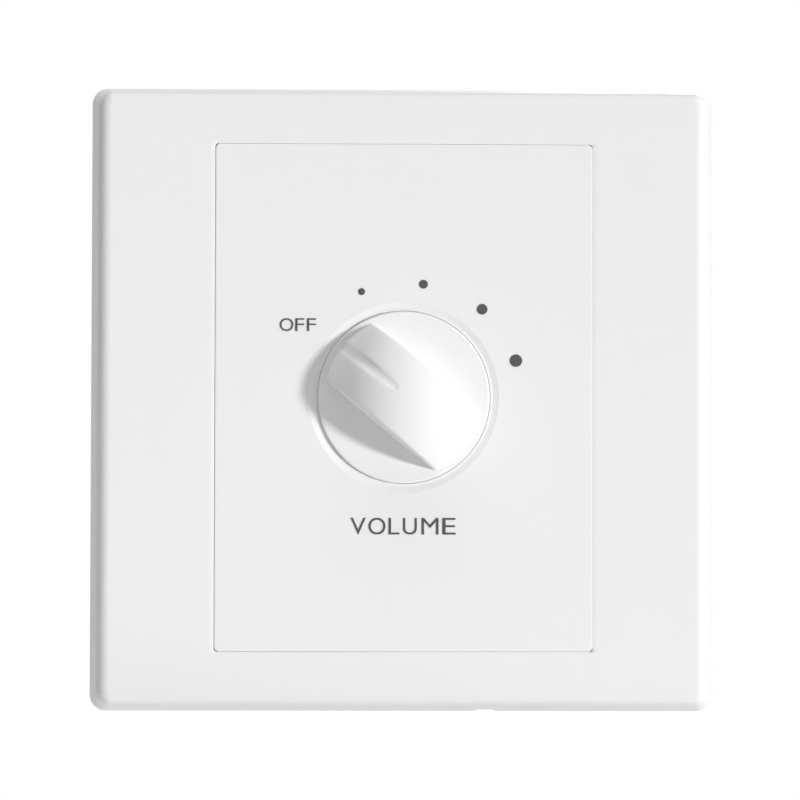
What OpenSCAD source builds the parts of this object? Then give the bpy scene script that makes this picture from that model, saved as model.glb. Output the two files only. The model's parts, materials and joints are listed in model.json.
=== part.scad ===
// Wall-mounted speaker volume control: a square cover frame with an insert panel and a turn knob,
// and behind them a rotary switch, a circuit board, a tapped transformer and a terminal block.
// Lengths are in millimetres. The origin is the middle of the wall plane: +X is to the right as the
// user sees the plate, +Z is up, and the plate's face looks along -Y.
// Every sub-part is drawn in the face frame, whose x is right, y is up and z points out of the wall,
// and on_wall() turns that frame upright.

/* [Cover frame] */
// Width and height of the square cover frame at the wall
plate_size = 86; // [84:1:100]
// How far the frame's face stands off the wall
plate_depth = 8.6; // [8:0.1:11]
// Corner radius of the frame, seen from the front
plate_corner_r = 2.2; // [1.5:0.1:5]
// Fillet that turns the face into the sides
plate_edge_r = 2; // [0.5:0.1:2]
// How much each side leans in between the wall and the face
plate_draft = 1.1; // [0.2:0.1:1.3]
// Thickness of the frame's side walls at the wall
frame_wall = 2.4; // [2:0.1:2.6]
// Thickness of the frame's face
frame_face_t = 2; // [1.6:0.1:2.4]
// Width of the window that the insert panel fills
window_w = 51.7; // [50:0.1:53]
// Height of that window
window_h = 69.4; // [64:0.1:71]
// Corner radius of the window
window_r = 1.2; // [0.8:0.1:2]
// Bevel round the window's front edge
window_bevel = 0.6; // [0.2:0.1:0.9]
// Thickness of the guide lip behind the window's edge
lip_t = 1.2; // [0.8:0.1:1.4]
// Depth of the guide lip below the frame's face
lip_depth = 3.4; // [2.6:0.1:3.6]
// Width of the pry slot in the bottom edge
pry_w = 2.6; // [2:0.1:5]
// Height of the pry slot above the wall
pry_h = 1.4; // [0.8:0.1:2]
// Distance of the pry slot from the middle
pry_x = 11.5; // [5:0.5:30]
// Width of each of the frame's snap hooks
hook_w = 6; // [4:0.5:10]
// Distance of the snap hooks from the middle
hook_x = 18; // [12:0.5:30]

/* [Mounting base] */
// Thickness of the base plate
base_t = 2.6; // [2.4:0.1:3]
// Distance between the two wall-box screws
box_pitch = 60.3; // [60:0.1:61]
// Width of the wall-box screw slots
slot_w = 4.3; // [3.8:0.1:4.6]
// Length of the wall-box screw slots, end to end
slot_l = 6.5; // [5.5:0.1:7]
// Radius of the posts that carry the circuit board
post_r = 3; // [2.6:0.1:3.4]
// Clearance between shells that fit into each other
shell_gap = 0.2; // [0.1:0.05:0.3]

/* [Insert panel] */
// Gap all round between the window and the panel
panel_gap = 0.2; // [0.1:0.05:0.4]
// How far the panel's face lies behind the frame's face
panel_setback = 0.3; // [0.1:0.1:0.6]
// Thickness of the panel's face and skirt
panel_t = 2; // [1.6:0.1:2.4]
// Corner radius of the panel, seen from the front
panel_corner_r = 1; // [0.7:0.1:2]
// Rounding of the panel's front edge
panel_edge_r = 0.35; // [0.1:0.05:0.6]
// Depth of the shallow ring round the knob
ring_depth = 0.25; // [0.15:0.05:0.5]
// Width of the ring's flat floor
ring_floor_w = 0.35; // [0.2:0.05:0.8]
// Width of the ring's sloping wall
ring_slope = 0.8; // [0.4:0.1:1.2]
// Depth of the pocket that the knob's rim turns in, below the ring's floor
pocket_depth = 0.6; // [0.5:0.05:0.8]
// Thickness of the nut well's wall and floor
well_t = 1.8; // [1.5:0.1:2.2]
// Clearance round the washer in the nut well
well_clear = 1; // [0.5:0.1:1.5]

/* [Dial] */
// Pointer angle at OFF, counted from the right-hand horizontal
off_angle = 140.5; // [125:0.5:150]
// Switch positions in a full turn
index_count = 12; // [11:1:13]
// Positions that the stops leave in use, OFF included
positions = 5; // [3:1:5]
// Radius of the arc of level dots
dot_arc_r = 16.4; // [15:0.1:20]
// How far the dots' arc lies below the knob's axis
dot_drop = 0.8; // [0:0.1:1]
// Diameter of the first level dot
dot_d = 0.95; // [0.6:0.05:1.5]
// How much larger each dot is than the last
dot_growth = 0.25; // [0:0.05:0.4]
// Thickness of the printed ink
ink_t = 0.08; // [0.05:0.01:0.2]

/* [Knob] */
// Radius of the knob's disc
knob_r = 11.75; // [11.4:0.05:13]
// How far the disc stands above the panel's face
knob_rise = 0.3; // [0.2:0.05:0.8]
// Running gap under the disc
knob_gap = 0.3; // [0.2:0.05:0.4]
// Gap between the knob's rim and its pocket
knob_clear = 0.15; // [0.15:0.05:0.3]
// Rounding of the disc's rim
knob_rim_r = 0.35; // [0.1:0.05:0.5]
// Width of the finger grip where it leaves the disc
grip_w = 10.2; // [9.4:0.1:12]
// How much the grip leans in on each side towards its top
grip_draft = 0.25; // [0.1:0.05:0.6]
// Height of the grip above the disc
grip_h = 7.8; // [6:0.1:9]
// Radius of the grip's domed back
dome_r = 11.6; // [11:0.1:14]
// Radius at which the grip's two ends are cut off
grip_end_r = 10.8; // [10.2:0.1:11]
// Wall thickness of the hollow grip
knob_wall = 1.4; // [1.1:0.1:1.7]
// Thickness of the grip's roof over the shaft
knob_roof = 2; // [1.5:0.1:2.5]
// Radius of the hub that takes the shaft
hub_r = 4.3; // [4:0.1:4.6]
// Width of the pointer groove
groove_w = 1.1; // [0.8:0.1:2]
// Depth of the pointer groove
groove_depth = 0.3; // [0.2:0.05:0.4]
// Distance of the pointer groove's inner end from the axis
groove_start = 1.3; // [1:0.1:5]

/* [Rotary switch] */
// Diameter of the switch shaft
shaft_d = 6; // [5.6:0.1:6.2]
// Distance of the shaft's flat from its axis
shaft_flat = 1.5; // [1.2:0.1:1.6]
// Running clearance of the shaft in its bush, on the radius
shaft_fit = 0.02; // [0.01:0.01:0.05]
// Width of the shaft's drive end across its two flats
drive_w = 4; // [3.4:0.1:4.6]
// Diameter of the pilot at the shaft's inner end
pilot_d = 3; // [2:0.1:3.2]
// Diameter of the threaded bush
bush_d = 9; // [8.5:0.1:9.6]
// Thickness of the bush's flange
flange_t = 1.6; // [1.4:0.1:2.2]
// Width and height of the square switch body
switch_size = 26; // [25.6:0.1:28]
// Corner radius of the switch body
switch_corner_r = 3; // [2:0.1:3.5]
// Length of the switch housing between flange and wafer
housing_l = 7.6; // [7.2:0.1:9]
// Radius of the housing's bore
housing_bore_r = 11.3; // [11:0.05:11.4]
// Thickness of the contact wafer
wafer_t = 1.5; // [1.2:0.1:2]
// Radius of the index wheel
wheel_r = 7.6; // [7.3:0.1:7.8]
// Thickness of the index wheel
wheel_t = 1.6; // [1.2:0.1:2]
// Depth of the notches round the index wheel
notch_depth = 0.5; // [0.3:0.05:0.6]
// Radius of the notches
notch_r = 1.25; // [1:0.05:1.4]
// Thickness of the index spring's leaf
leaf_t = 0.4; // [0.3:0.05:0.5]
// Length of the index spring's leaf
leaf_l = 14.4; // [14:0.1:14.8]
// Radius on which the stop pins stand
stop_r = 9.3; // [9.1:0.1:9.5]
// Diameter of the stop pins
stop_pin_d = 1.8; // [1.4:0.1:2]
// Width of the index wheel's stop arm
stop_arm_w = 2.4; // [1.8:0.1:3]
// Radius of the rotor
rotor_r = 9.4; // [8.8:0.1:10]
// Thickness of the rotor
rotor_t = 2.4; // [1.8:0.1:2.6]
// Thickness of the wiper's sheet
wiper_t = 0.3; // [0.2:0.05:0.5]
// Radius of the circle of fixed contacts
contact_r = 7.5; // [7.2:0.1:8]
// Radius of the common contact ring, to the middle of its band
common_r = 4.4; // [4.2:0.1:4.6]
// Width of the common contact ring's band
common_band = 1.6; // [1.2:0.1:1.8]
// Diameter of a fixed contact's head
contact_d = 2.2; // [1.6:0.1:2.4]
// Height of the contacts above the wafer
contact_t = 0.4; // [0.3:0.05:0.6]
// Diameter of the solder pins
pin_d = 0.9; // [0.6:0.1:1]
// Diameter of the rivets that hold the switch together
rivet_d = 2; // [1.6:0.1:2.2]
// Distance of the rivets from the switch body's edges
rivet_inset = 2.6; // [2.4:0.1:2.8]

/* [Fasteners] */
// Width of the bush nut across its flats
nut_af = 12; // [11:0.5:13]
// Thickness of the bush nut
nut_t = 2.2; // [1.8:0.1:2.6]
// Radius of the lock washer
washer_r = 7.2; // [7:0.1:7.6]
// Thickness of the lock washer
washer_t = 0.5; // [0.4:0.1:0.8]
// Thickness of the shaft clip
clip_t = 0.5; // [0.4:0.05:0.7]
// Diameter of the panel and board screws
screw_d = 2.9; // [2.4:0.1:3]
// Diameter of the screw heads
screw_head_d = 5.2; // [4.6:0.1:5.4]
// Height of the screw heads
screw_head_t = 1.2; // [0.8:0.1:1.4]
// Length of thread that a board screw has in its post
screw_grip = 5; // [4:0.5:6]
// Clearance of a screw or pin in its hole, on the radius
hole_gap = 0.1; // [0.05:0.05:0.15]

/* [Circuit board] */
// Width of the circuit board
board_w = 52; // [51.4:0.1:56]
// Height of the circuit board
board_h = 58; // [57:0.5:62]
// Thickness of the circuit board
board_t = 1.6; // [1:0.1:2]
// Space between the switch and the board
board_gap = 1; // [0.8:0.1:2]
// How far the solder pins stand out of the board
pin_stub = 0.6; // [0.3:0.1:0.7]
// Distance of the lower board screws from the board's sides
screw_side_inset = 6; // [4:0.5:8]
// Distance of the lower board screws from the board's lower edge
screw_low_inset = 5; // [4:0.5:6]

/* [Transformer] */
// Width of the core's outer limbs, which sets the rest of its laminations
limb_w = 5.8; // [5.4:0.1:6]
// Thickness of the lamination stack
core_stack = 14; // [12:0.5:16]
// Height of the transformer's middle above the switch axis
core_y = 12; // [11:0.5:13]
// Space between the board and the core
core_gap = 1.5; // [1.2:0.1:3]
// Wall thickness of the bobbin
bobbin_t = 0.9; // [0.6:0.1:1.2]
// Thickness of the tape round the winding
tape_t = 0.3; // [0.2:0.05:0.4]
// Thickness of the steel strap
strap_t = 1; // [0.8:0.1:1.4]
// Width of the steel strap
strap_w = 12; // [8:0.5:12]
// Length of the strap's ears
ear_l = 8.4; // [7.6:0.1:8.6]
// Pitch of the transformer's pins
coil_pin_pitch = 4; // [3:0.1:4.4]
// Number of pins in each of the transformer's two rows
coil_pins = 5; // [3:1:5]

/* [Terminal block] */
// Number of wire terminals
ways = 4; // [2:1:4]
// Distance between neighbouring terminals
way_pitch = 5.08; // [5:0.02:5.5]
// Depth of the terminal housing from front to back, along the wires
term_d = 8.4; // [8.2:0.1:9]
// Height of the terminal housing above the board
term_h = 10.4; // [10:0.1:12]
// Distance of the terminal housing's wire side from the board's lower edge
term_inset = 1; // [0.5:0.1:1.6]
// Wall thickness of the terminal housing
term_wall = 1.1; // [0.8:0.1:1.2]
// Width of a clamp cage
cage_w = 3.7; // [3.4:0.1:3.8]
// Height of a clamp cage above the board
cage_h = 6.8; // [6.4:0.1:7]
// Thickness of a clamp cage's sides
cage_t = 0.5; // [0.3:0.1:0.6]
// Height of the opening for the wire
wire_h = 3.2; // [2.6:0.1:3.4]
// Diameter of the clamp screws
clamp_screw_d = 2.4; // [2:0.1:2.6]
// Diameter of the clamp screws' heads
clamp_head_d = 3.4; // [3:0.1:3.5]
// Height of the clamp screws' heads
clamp_head_t = 1.6; // [1.2:0.1:2]

/* [Hidden] */
$fn = 64;
hull_fn = 32;      // segments of the rounded corners inside a hull
arc_step = 15;     // degrees between the points of a drawn fillet
cut = 1;           // how far a cutting tool runs past the surface that it opens
weld = 0.3;        // how far two shapes of one piece run into each other
touch = 0.05;      // gap that keeps two neighbouring pieces from sharing a face
slack = 0.3;       // gap beside a part that has to move or be pushed in

white = "#f2f2f0";
ink = "#505050";
steel = "#b8bcc0";
zinc = "#c9c9c4";
brass = "#c8a64a";
bronze = "#b87a45";
phenolic = "#5a3a22";
nylon = "#e8e4d4";
board_green = "#2f6b45";
core_grey = "#6a6a6e";
bobbin_black = "#26262a";
copper = "#b4622d";
tape_yellow = "#d9b545";
terminal_green = "#2f8f57";

// Levels along the face frame's z, from the front to the back
z_panel = plate_depth - panel_setback;
z_panel_back = z_panel - panel_t;
z_ring = z_panel - ring_depth;
z_pocket = z_ring - pocket_depth;
z_knob = z_pocket + knob_gap;
z_disc = z_panel + knob_rise;
z_apex = z_disc + grip_h;
bush_over = 0.2;                    // how far the bush stands past its nut
z_bush = z_pocket - clip_t - 2 * touch;
z_nut = z_bush - bush_over - nut_t;
z_well = z_nut - washer_t;
z_flange = z_well - well_t;
z_housing = z_flange - flange_t;
z_wafer = z_housing - housing_l;
z_wafer_back = z_wafer - wafer_t;
z_board = z_wafer_back - board_gap;
z_board_back = z_board - board_t;
z_core = z_board_back - core_gap;
z_wheel = z_housing - 0.2;
z_wheel_back = z_wheel - wheel_t;
z_rotor = z_wheel_back - 0.4;
z_rotor_back = z_rotor - rotor_t;
z_contact = z_wafer + contact_t;
z_hub_bore = z_apex - knob_roof;
z_shaft_end = z_hub_bore - 0.2;

// Cover frame and base
edge_r = min(plate_edge_r, plate_corner_r - touch);
z_frame_back = plate_depth - frame_face_t;
cavity_size = plate_size - 2 * frame_wall;
base_size = cavity_size - 2 * shell_gap;
base_corner_r = 1.2;
z_lip = plate_depth - lip_depth;
hook_t = 1.2;                       // thickness of a hook and of its catch
hook_nose = 0.7;                    // how far a hook reaches under its catch
hook_gap = 0.1;                     // clearance between hook and catch
hook_y = cavity_size / 2 - 0.4 - hook_t;
z_hook = base_t + 0.4;
z_nose = z_hook + 1;
catch_y = hook_y - hook_nose - slack - hook_t;
catch_h = 1.1;                      // height of the catch's ledge
switch_clear = 1.5;                 // clearance round the switch in the base
switch_window = switch_size + 2 * switch_clear;
counterbore_t = base_t - 1;         // depth of the panel screws' counterbores

// Insert panel
panel_w = window_w - 2 * panel_gap;
panel_h = window_h - 2 * panel_gap;
boss_r = 2.8;
boss_inset = 4.6;                   // distance of a screw boss from the panel's edges
panel_screw_x = panel_w / 2 - boss_inset;
panel_screw_y = panel_h / 2 - boss_inset;
pocket_r = knob_r + knob_clear;
ring_floor_r = pocket_r + ring_floor_w;
well_r = washer_r + well_clear;
key_at = (bush_d / 2 + well_r + well_t) / 2;   // distance of the flange's key from the axis
key_d = 2;
key_l = 1.2;

// Dial, switch and stops
index_step = 360 / index_count;
travel = (positions - 1) * index_step;
index_angle = off_angle + 4 * index_step;
contact_angle = off_angle + 180;
stop_swing = asin((stop_arm_w / 2 + stop_pin_d / 2 + 0.1) / stop_r);
stop_pin_l = 0.8;                   // length of a stop pin inside the flange
nose_r = notch_r - 0.1;
notch_at = wheel_r + notch_r - notch_depth;
leaf_x = notch_at + nose_r - leaf_t;
leaf_w = wheel_t - 0.2;
clip_r = shaft_d / 2 + 1.2;
clip_groove_r = shaft_d / 2 - 0.6;
knob_clip_t = 0.35;
knob_clip_w = shaft_d * 0.7;
hub_flat = shaft_flat + knob_clip_t + 2 * touch;
finger_w = 1.6;
finger_t = 1.2;
rivet_at = switch_size / 2 - rivet_inset;
rivet_head_d = rivet_d * 1.7;
rivet_head_t = 0.5;

// Circuit board
board_screw_x = board_w / 2 - screw_side_inset;
board_screw_y = board_h / 2 - screw_low_inset;

// Transformer: its laminations follow the usual proportions of their outer limbs
core_w = 6 * limb_w;
core_h = 5 * limb_w;
z_window = z_core - limb_w;
z_window_back = z_core - 4 * limb_w;
z_core_back = z_core - core_h;
limb_gap = 0.1;                     // clearance of the bobbin on the core
tube_x = limb_w + limb_gap;
tube_y = core_stack / 2 + limb_gap;
flange_x = 2 * limb_w - 0.15;
flange_y = core_stack / 2 + limb_w + 0.3;
coil_x = flange_x - tape_t - 0.2;
coil_y = flange_y - tape_t - 0.3;
coil_corner_r = 2;
leg_y = core_stack / 2 + 0.4;
leg_stand = pin_stub + 0.4;         // height of the feet under the bobbin's legs
foot_w = 2.4;
coil_pin_y = (leg_y + flange_y) / 2;
coil_pin_in = 3;                    // length of a pin inside the bobbin's leg
coil_pin_d = 0.8;
ear_x = core_w / 2 + strap_t + ear_l / 2;

// Terminal block
term_w = ways * way_pitch + 2 * (term_wall - (way_pitch - cage_w) / 2 + touch);
term_y = term_inset - board_h / 2;
cage_d = term_d - 2 * term_wall - 2 * touch;
cage_y = term_y + term_d / 2;
z_cage = z_board_back - touch;
z_cage_back = z_cage - cage_h;
wire_w = cage_w - 2 * cage_t;
z_wire = z_cage - 0.8;
clamp_reach = 1.4;                  // how far a clamp screw reaches into the wire opening

// Turns the face frame upright: its z becomes -Y and its y becomes +Z
module on_wall() rotate([90, 0, 0]) children();

// The face frame turned so that x runs along the knob's pointer at OFF
module along_pointer() on_wall() rotate([0, 0, off_angle]) children();

// Copies of a shape at the four corners of a rectangle with half sides dx and dy
module corners(dx, dy)
    for (sx = [-1, 1], sy = [-1, 1]) translate([sx * dx, sy * dy, 0]) children();

// Copies of a shape at the two ends of a level line
module pair(dx, y = 0)
    for (sx = [-1, 1]) translate([sx * dx, y, 0]) children();

// A prism between two levels
module between(z0, z1) translate([0, 0, z0]) linear_extrude(z1 - z0) children();

// A cylinder between two levels
module rod(r, z0, z1) translate([0, 0, z0]) cylinder(r = r, h = z1 - z0);

// A box given by the middle of its footprint and its two levels
module block(x, y, w, h, z0, z1)
    translate([x - w / 2, y - h / 2, z0]) cube([w, h, z1 - z0]);

module rounded_rect(w, h, r) {
    square([w - 2 * r, h], center = true);
    square([w, h - 2 * r], center = true);
    corners(w / 2 - r, h / 2 - r) circle(r);
}

// A slab with rounded corners whose sides lean in by draft and end in a rounded front edge
module leaning_slab(w, h, z0, z1, corner_r, fillet_r, draft) hull() {
    corners(w / 2 - corner_r, h / 2 - corner_r)
        translate([0, 0, z0]) cylinder(r = corner_r, h = touch, $fn = hull_fn);
    corners(w / 2 - draft - corner_r, h / 2 - draft - corner_r)
        rotate_extrude($fn = hull_fn)
            polygon(concat(
                [[0, z1 - fillet_r]],
                [for (a = [0 : arc_step : 90])
                    [corner_r - fillet_r * (1 - cos(a)), z1 - fillet_r * (1 - sin(a))]],
                [[0, z1]]));
}

// A straight slab with rounded corners and a rounded front edge
module rounded_front(w, h, z0, z1, corner_r, front_r) intersection() {
    between(z0, z1) rounded_rect(w, h, corner_r);
    rotate([90, 0, 0]) linear_extrude(2 * h, center = true) rounded_top(w, z0, z1, front_r);
    rotate([90, 0, 90]) linear_extrude(2 * w, center = true) rounded_top(h, z0, z1, front_r);
}

// A rectangle between two levels whose upper corners are rounded
module rounded_top(w, z0, z1, r) {
    translate([-w / 2, z0]) square([w, z1 - r - z0]);
    translate([r - w / 2, z0]) square([w - 2 * r, z1 - z0]);
    for (sx = [-1, 1]) translate([sx * (w / 2 - r), z1 - r]) circle(r);
}

// The opening of the window with its bevelled front edge
module window_opening() {
    between(-cut, plate_depth + cut) rounded_rect(window_w, window_h, window_r);
    hull() {
        between(plate_depth - window_bevel, plate_depth - window_bevel + touch)
            rounded_rect(window_w, window_h, window_r, $fn = hull_fn);
        between(plate_depth, plate_depth + touch)
            rounded_rect(window_w + 2 * window_bevel, window_h + 2 * window_bevel,
                         window_r + window_bevel, $fn = hull_fn);
    }
}

// One snap hook at the upper edge, hanging from the back of the frame's face
module snap_hook() {
    block(0, hook_y + hook_t / 2, hook_w, hook_t, z_hook, z_frame_back + weld);
    block(0, hook_y - hook_nose / 2 + weld / 2, hook_w, hook_nose + weld, z_hook, z_nose);
}

// The catch on the base that one snap hook grips
module snap_catch() {
    ledge = hook_nose + slack - hook_gap;
    z_ledge = z_nose + hook_gap;
    block(0, catch_y + hook_t / 2, hook_w + 2, hook_t, base_t - weld, z_ledge + catch_h);
    block(0, catch_y + hook_t + ledge / 2 - weld / 2, hook_w + 2, ledge + weld, z_ledge, z_ledge + catch_h);
}

// Hooks or catches: two at the top edge and two, mirrored, at the bottom edge
module four_snaps()
    for (flip = [0, 1]) mirror([0, flip, 0]) pair(hook_x) children();

// Outer trim frame that snaps over the mounting base
module cover_frame() color(white) on_wall() {
    difference() {
        union() {
            difference() {
                leaning_slab(plate_size, plate_size, 0, plate_depth, plate_corner_r, edge_r, plate_draft);
                between(-cut, z_frame_back) rounded_rect(cavity_size, cavity_size, base_corner_r);
            }
            between(z_lip, z_frame_back + weld)
                rounded_rect(window_w + 2 * lip_t, window_h + 2 * lip_t, window_r + lip_t);
        }
        window_opening();
        block(pry_x, -plate_size / 2, pry_w, 2 * (frame_wall + cut), -cut, pry_h);
    }
    four_snaps() snap_hook();
}

// Face panel that fills the window, with the ring for the knob and a well for the bush nut
module insert_panel() color(white) on_wall() difference() {
    union() {
        difference() {
            rounded_front(panel_w, panel_h, base_t, z_panel, panel_corner_r, panel_edge_r);
            between(base_t - cut, z_panel_back)
                square([panel_w - 2 * panel_t, panel_h - 2 * panel_t], center = true);
        }
        rod(well_r + well_t, z_flange, z_panel_back + weld);
        corners(panel_screw_x, panel_screw_y) rod(boss_r, base_t, z_panel_back + weld);
    }
    translate([0, 0, z_ring])
        cylinder(r1 = ring_floor_r, r2 = ring_floor_r + ring_slope, h = ring_depth);
    rod(ring_floor_r + ring_slope, z_panel, z_panel + cut);
    rod(pocket_r, z_pocket, z_ring + touch);
    rod(well_r, z_well, z_pocket + touch);
    rod(bush_d / 2 + hole_gap, z_flange - cut, z_well + cut);
    translate([key_at, 0, 0]) rod(key_d / 2 + hole_gap, z_flange - cut, z_flange + key_l + hole_gap);
    corners(panel_screw_x, panel_screw_y) rod(screw_d / 2 + hole_gap, base_t - cut, z_panel_back);
}

// Printed level dots, which grow with the volume
module level_dots() color(ink) on_wall() translate([0, -dot_drop, 0])
    for (i = [1 : positions - 1]) rotate([0, 0, off_angle - i * index_step]) translate([dot_arc_r, 0, 0])
        rod((dot_d + (i - 1) * dot_growth) / 2, z_panel, z_panel + ink_t);

// Places of the four posts behind the base: two under the strap's ears and two lower ones
module upper_posts() pair(ear_x, core_y) children();
module lower_posts() pair(board_screw_x, -board_screw_y) children();

// Plate that is screwed to the wall box and carries everything else
module mounting_base() color(white) on_wall() difference() {
    union() {
        between(0, base_t) rounded_rect(base_size, base_size, base_corner_r);
        upper_posts() rod(post_r, z_board, weld);
        lower_posts() rod(post_r, z_board, weld);
        four_snaps() snap_catch();
    }
    between(-cut, base_t + cut) rounded_rect(switch_window, switch_window, switch_corner_r);
    pair(box_pitch / 2) between(-cut, base_t + cut) rounded_slot();
    corners(panel_screw_x, panel_screw_y) {
        rod(screw_d / 2 + hole_gap, -cut, base_t + cut);
        rod(screw_head_d / 2 + hole_gap, -cut, counterbore_t);
    }
    upper_posts() rod(screw_d / 2 + hole_gap, z_board - cut, z_board + screw_grip + slack);
    lower_posts() rod(screw_d / 2 + hole_gap, z_board - cut, z_board + screw_grip + slack);
}

// Outline of one wall-box screw slot
module rounded_slot() {
    square([slot_l - slot_w, slot_w], center = true);
    pair((slot_l - slot_w) / 2) circle(slot_w / 2);
}

// A screw whose head's underside lies at z and whose thread points out of the wall
module screw(z, length) difference() {
    union() {
        rod(screw_d / 2, z - weld, z + length);
        rod(screw_head_d / 2, z - screw_head_t, z);
    }
    cross_recess(screw_head_d, z - screw_head_t);
}

// Cross recess in the back of a screw head
module cross_recess(head_d, z) {
    arm = head_d * 0.6;
    slot = head_d * 0.14;
    for (a = [0, 90]) rotate([0, 0, a]) block(0, 0, arm, slot, z - cut, z + 0.7);
}

// Screws that pull the insert panel onto the base
module panel_screws() color(steel) on_wall() corners(panel_screw_x, panel_screw_y)
    screw(counterbore_t, z_panel_back - counterbore_t - slack);

// Turn knob: a disc with a domed finger grip, hollow behind, and a hub for the shaft
module knob() color(white) along_pointer() difference() {
    union() {
        knob_disc();
        grip(grip_w / 2, dome_r, grip_end_r, z_disc - weld);
    }
    difference() {
        grip(grip_w / 2 - knob_wall, dome_r - knob_wall, grip_end_r - knob_wall, z_knob - cut);
        rod(hub_r, z_knob - 2 * cut, z_apex);
    }
    intersection() {
        rod(shaft_d / 2 + shaft_fit, z_knob - cut, z_hub_bore);
        block(hub_flat - shaft_d, 0, 2 * shaft_d, 2 * shaft_d, z_knob - cut, z_hub_bore);
    }
    pointer_groove();
}

module knob_disc() rotate_extrude() polygon(concat(
    [[0, z_knob], [knob_r, z_knob]],
    [for (a = [0 : arc_step : 90])
        [knob_r - knob_rim_r * (1 - cos(a)), z_disc - knob_rim_r * (1 - sin(a))]],
    [[0, z_disc]]));

// The grip's form: a dome cut to a bar along the pointer, with leaning sides and round ends
module grip(half_w, back_r, end_r, z0) intersection() {
    at_dome() sphere(back_r);
    rotate([90, 0, 90]) linear_extrude(2 * knob_r, center = true) polygon([
        [-half_w, z0], [half_w, z0], [half_w, z_disc],
        [half_w - grip_draft, z_apex], [grip_draft - half_w, z_apex], [-half_w, z_disc]]);
    rod(end_r, z0, z_apex);
}

module at_dome() translate([0, 0, z_apex - dome_r]) children();

// Round-bottomed groove over the grip's back, from near the axis to the pointer end
module pointer_groove() {
    bar_r = (pow(groove_w / 2, 2) + pow(groove_depth, 2)) / (2 * groove_depth);
    path_r = dome_r + bar_r - groove_depth;
    start = groove_start + groove_w / 2;
    intersection() {
        at_dome() rotate([90, 0, 0]) rotate_extrude() translate([path_r, 0]) circle(bar_r);
        block(start + knob_r, 0, 2 * knob_r, 2 * groove_w, z_disc, z_apex + cut);
    }
    at_dome() translate([start, 0, sqrt(pow(path_r, 2) - pow(start, 2))]) sphere(bar_r);
}

// Spring leaf that presses on the shaft's flat inside the hub
module knob_clip() color(steel) along_pointer()
    block(shaft_flat + touch + knob_clip_t / 2, 0, knob_clip_t, knob_clip_w,
          z_knob + slack, z_hub_bore - slack);

// Flange with the threaded bush and the key that stops it from turning
module bushing_flange() color(zinc) on_wall() difference() {
    union() {
        between(z_housing, z_flange) switch_outline();
        rod(bush_d / 2, z_flange - weld, z_bush);
        translate([key_at, 0, 0]) rod(key_d / 2, z_flange - weld, z_flange + key_l);
    }
    rod(shaft_d / 2 + shaft_fit, z_housing - cut, z_bush + cut);
    corners(rivet_at, rivet_at) rod(rivet_d / 2 + hole_gap, z_housing - cut, z_flange + cut);
    at_stops() rod(stop_pin_d / 2 + hole_gap, z_housing - cut, z_housing + stop_pin_l);
}

module switch_outline() rounded_rect(switch_size, switch_size, switch_corner_r);

// The two ends of the knob's travel, just past the stop arm
module at_stops()
    for (a = [off_angle + stop_swing, off_angle - travel - stop_swing])
        rotate([0, 0, a]) translate([stop_r, 0, 0]) children();

// Pins that stop the index wheel's arm
module stop_pins() color(steel) on_wall() at_stops()
    rod(stop_pin_d / 2, z_wheel_back, z_housing + stop_pin_l);

// Hexagonal nut that clamps the bush in the panel
module bushing_nut() color(steel) on_wall() difference() {
    translate([0, 0, z_nut]) cylinder(d = nut_af / cos(30), h = nut_t, $fn = 6);
    rod(bush_d / 2 + hole_gap, z_nut - cut, z_nut + nut_t + cut);
}

// Toothed washer under the nut
module lock_washer() color(steel) on_wall() difference() {
    rod(washer_r, z_well, z_nut);
    rod(bush_d / 2 + hole_gap, z_well - cut, z_nut + cut);
    for (a = [15 : 30 : 345]) rotate([0, 0, a]) block(washer_r, 0, 2.4, 0.8, z_well - cut, z_nut + cut);
}

// Shaft with a flat for the knob, a groove for the clip, a drive end and a pilot
module switch_shaft() color(steel) along_pointer() {
    z_flat = z_knob - 2 * touch;
    difference() {
        rod(shaft_d / 2, z_wheel, z_shaft_end);
        block(shaft_flat + shaft_d / 2, 0, shaft_d, shaft_d + cut, z_flat, z_shaft_end + cut);
        difference() {
            rod(shaft_d, z_bush + touch, z_bush + touch + clip_t);
            rod(clip_groove_r, z_bush, z_bush + clip_t + cut);
        }
    }
    intersection() {
        rod(shaft_d / 2, z_rotor_back, z_wheel + weld);
        block(0, 0, shaft_d, drive_w, z_rotor_back, z_wheel + weld);
    }
    rod(pilot_d / 2, z_wafer - wafer_t / 2, z_rotor_back + weld);
}

// Hole that the shaft's drive end turns
module drive_hole(z0, z1) intersection() {
    rod(shaft_d / 2 + touch, z0, z1);
    block(0, 0, shaft_d + 1, drive_w + 2 * touch, z0, z1);
}

// Open ring in the shaft's groove that keeps it in the bush
module shaft_clip() color(steel) along_pointer() difference() {
    rod(clip_r, z_bush + 1.4 * touch, z_bush + 0.6 * touch + clip_t);
    rod(clip_groove_r + touch / 2, z_bush, z_bush + clip_t + cut);
    block(-clip_r, 0, 2 * clip_r, clip_groove_r * 1.5, z_bush, z_bush + clip_t + cut);
}

// Notched wheel that gives the switch its positions, with the arm that meets the stop pins
module index_wheel() color(steel) along_pointer() difference() {
    union() {
        difference() {
            rod(wheel_r, z_wheel_back, z_wheel);
            for (i = [1 : index_count]) rotate([0, 0, i * index_step]) translate([notch_at, 0, 0])
                rod(notch_r, z_wheel_back - cut, z_wheel + cut);
        }
        block((wheel_r + stop_r) / 2, 0, stop_r - wheel_r + 3, stop_arm_w, z_wheel_back, z_wheel);
    }
    drive_hole(z_wheel_back - cut, z_wheel + cut);
}

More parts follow.
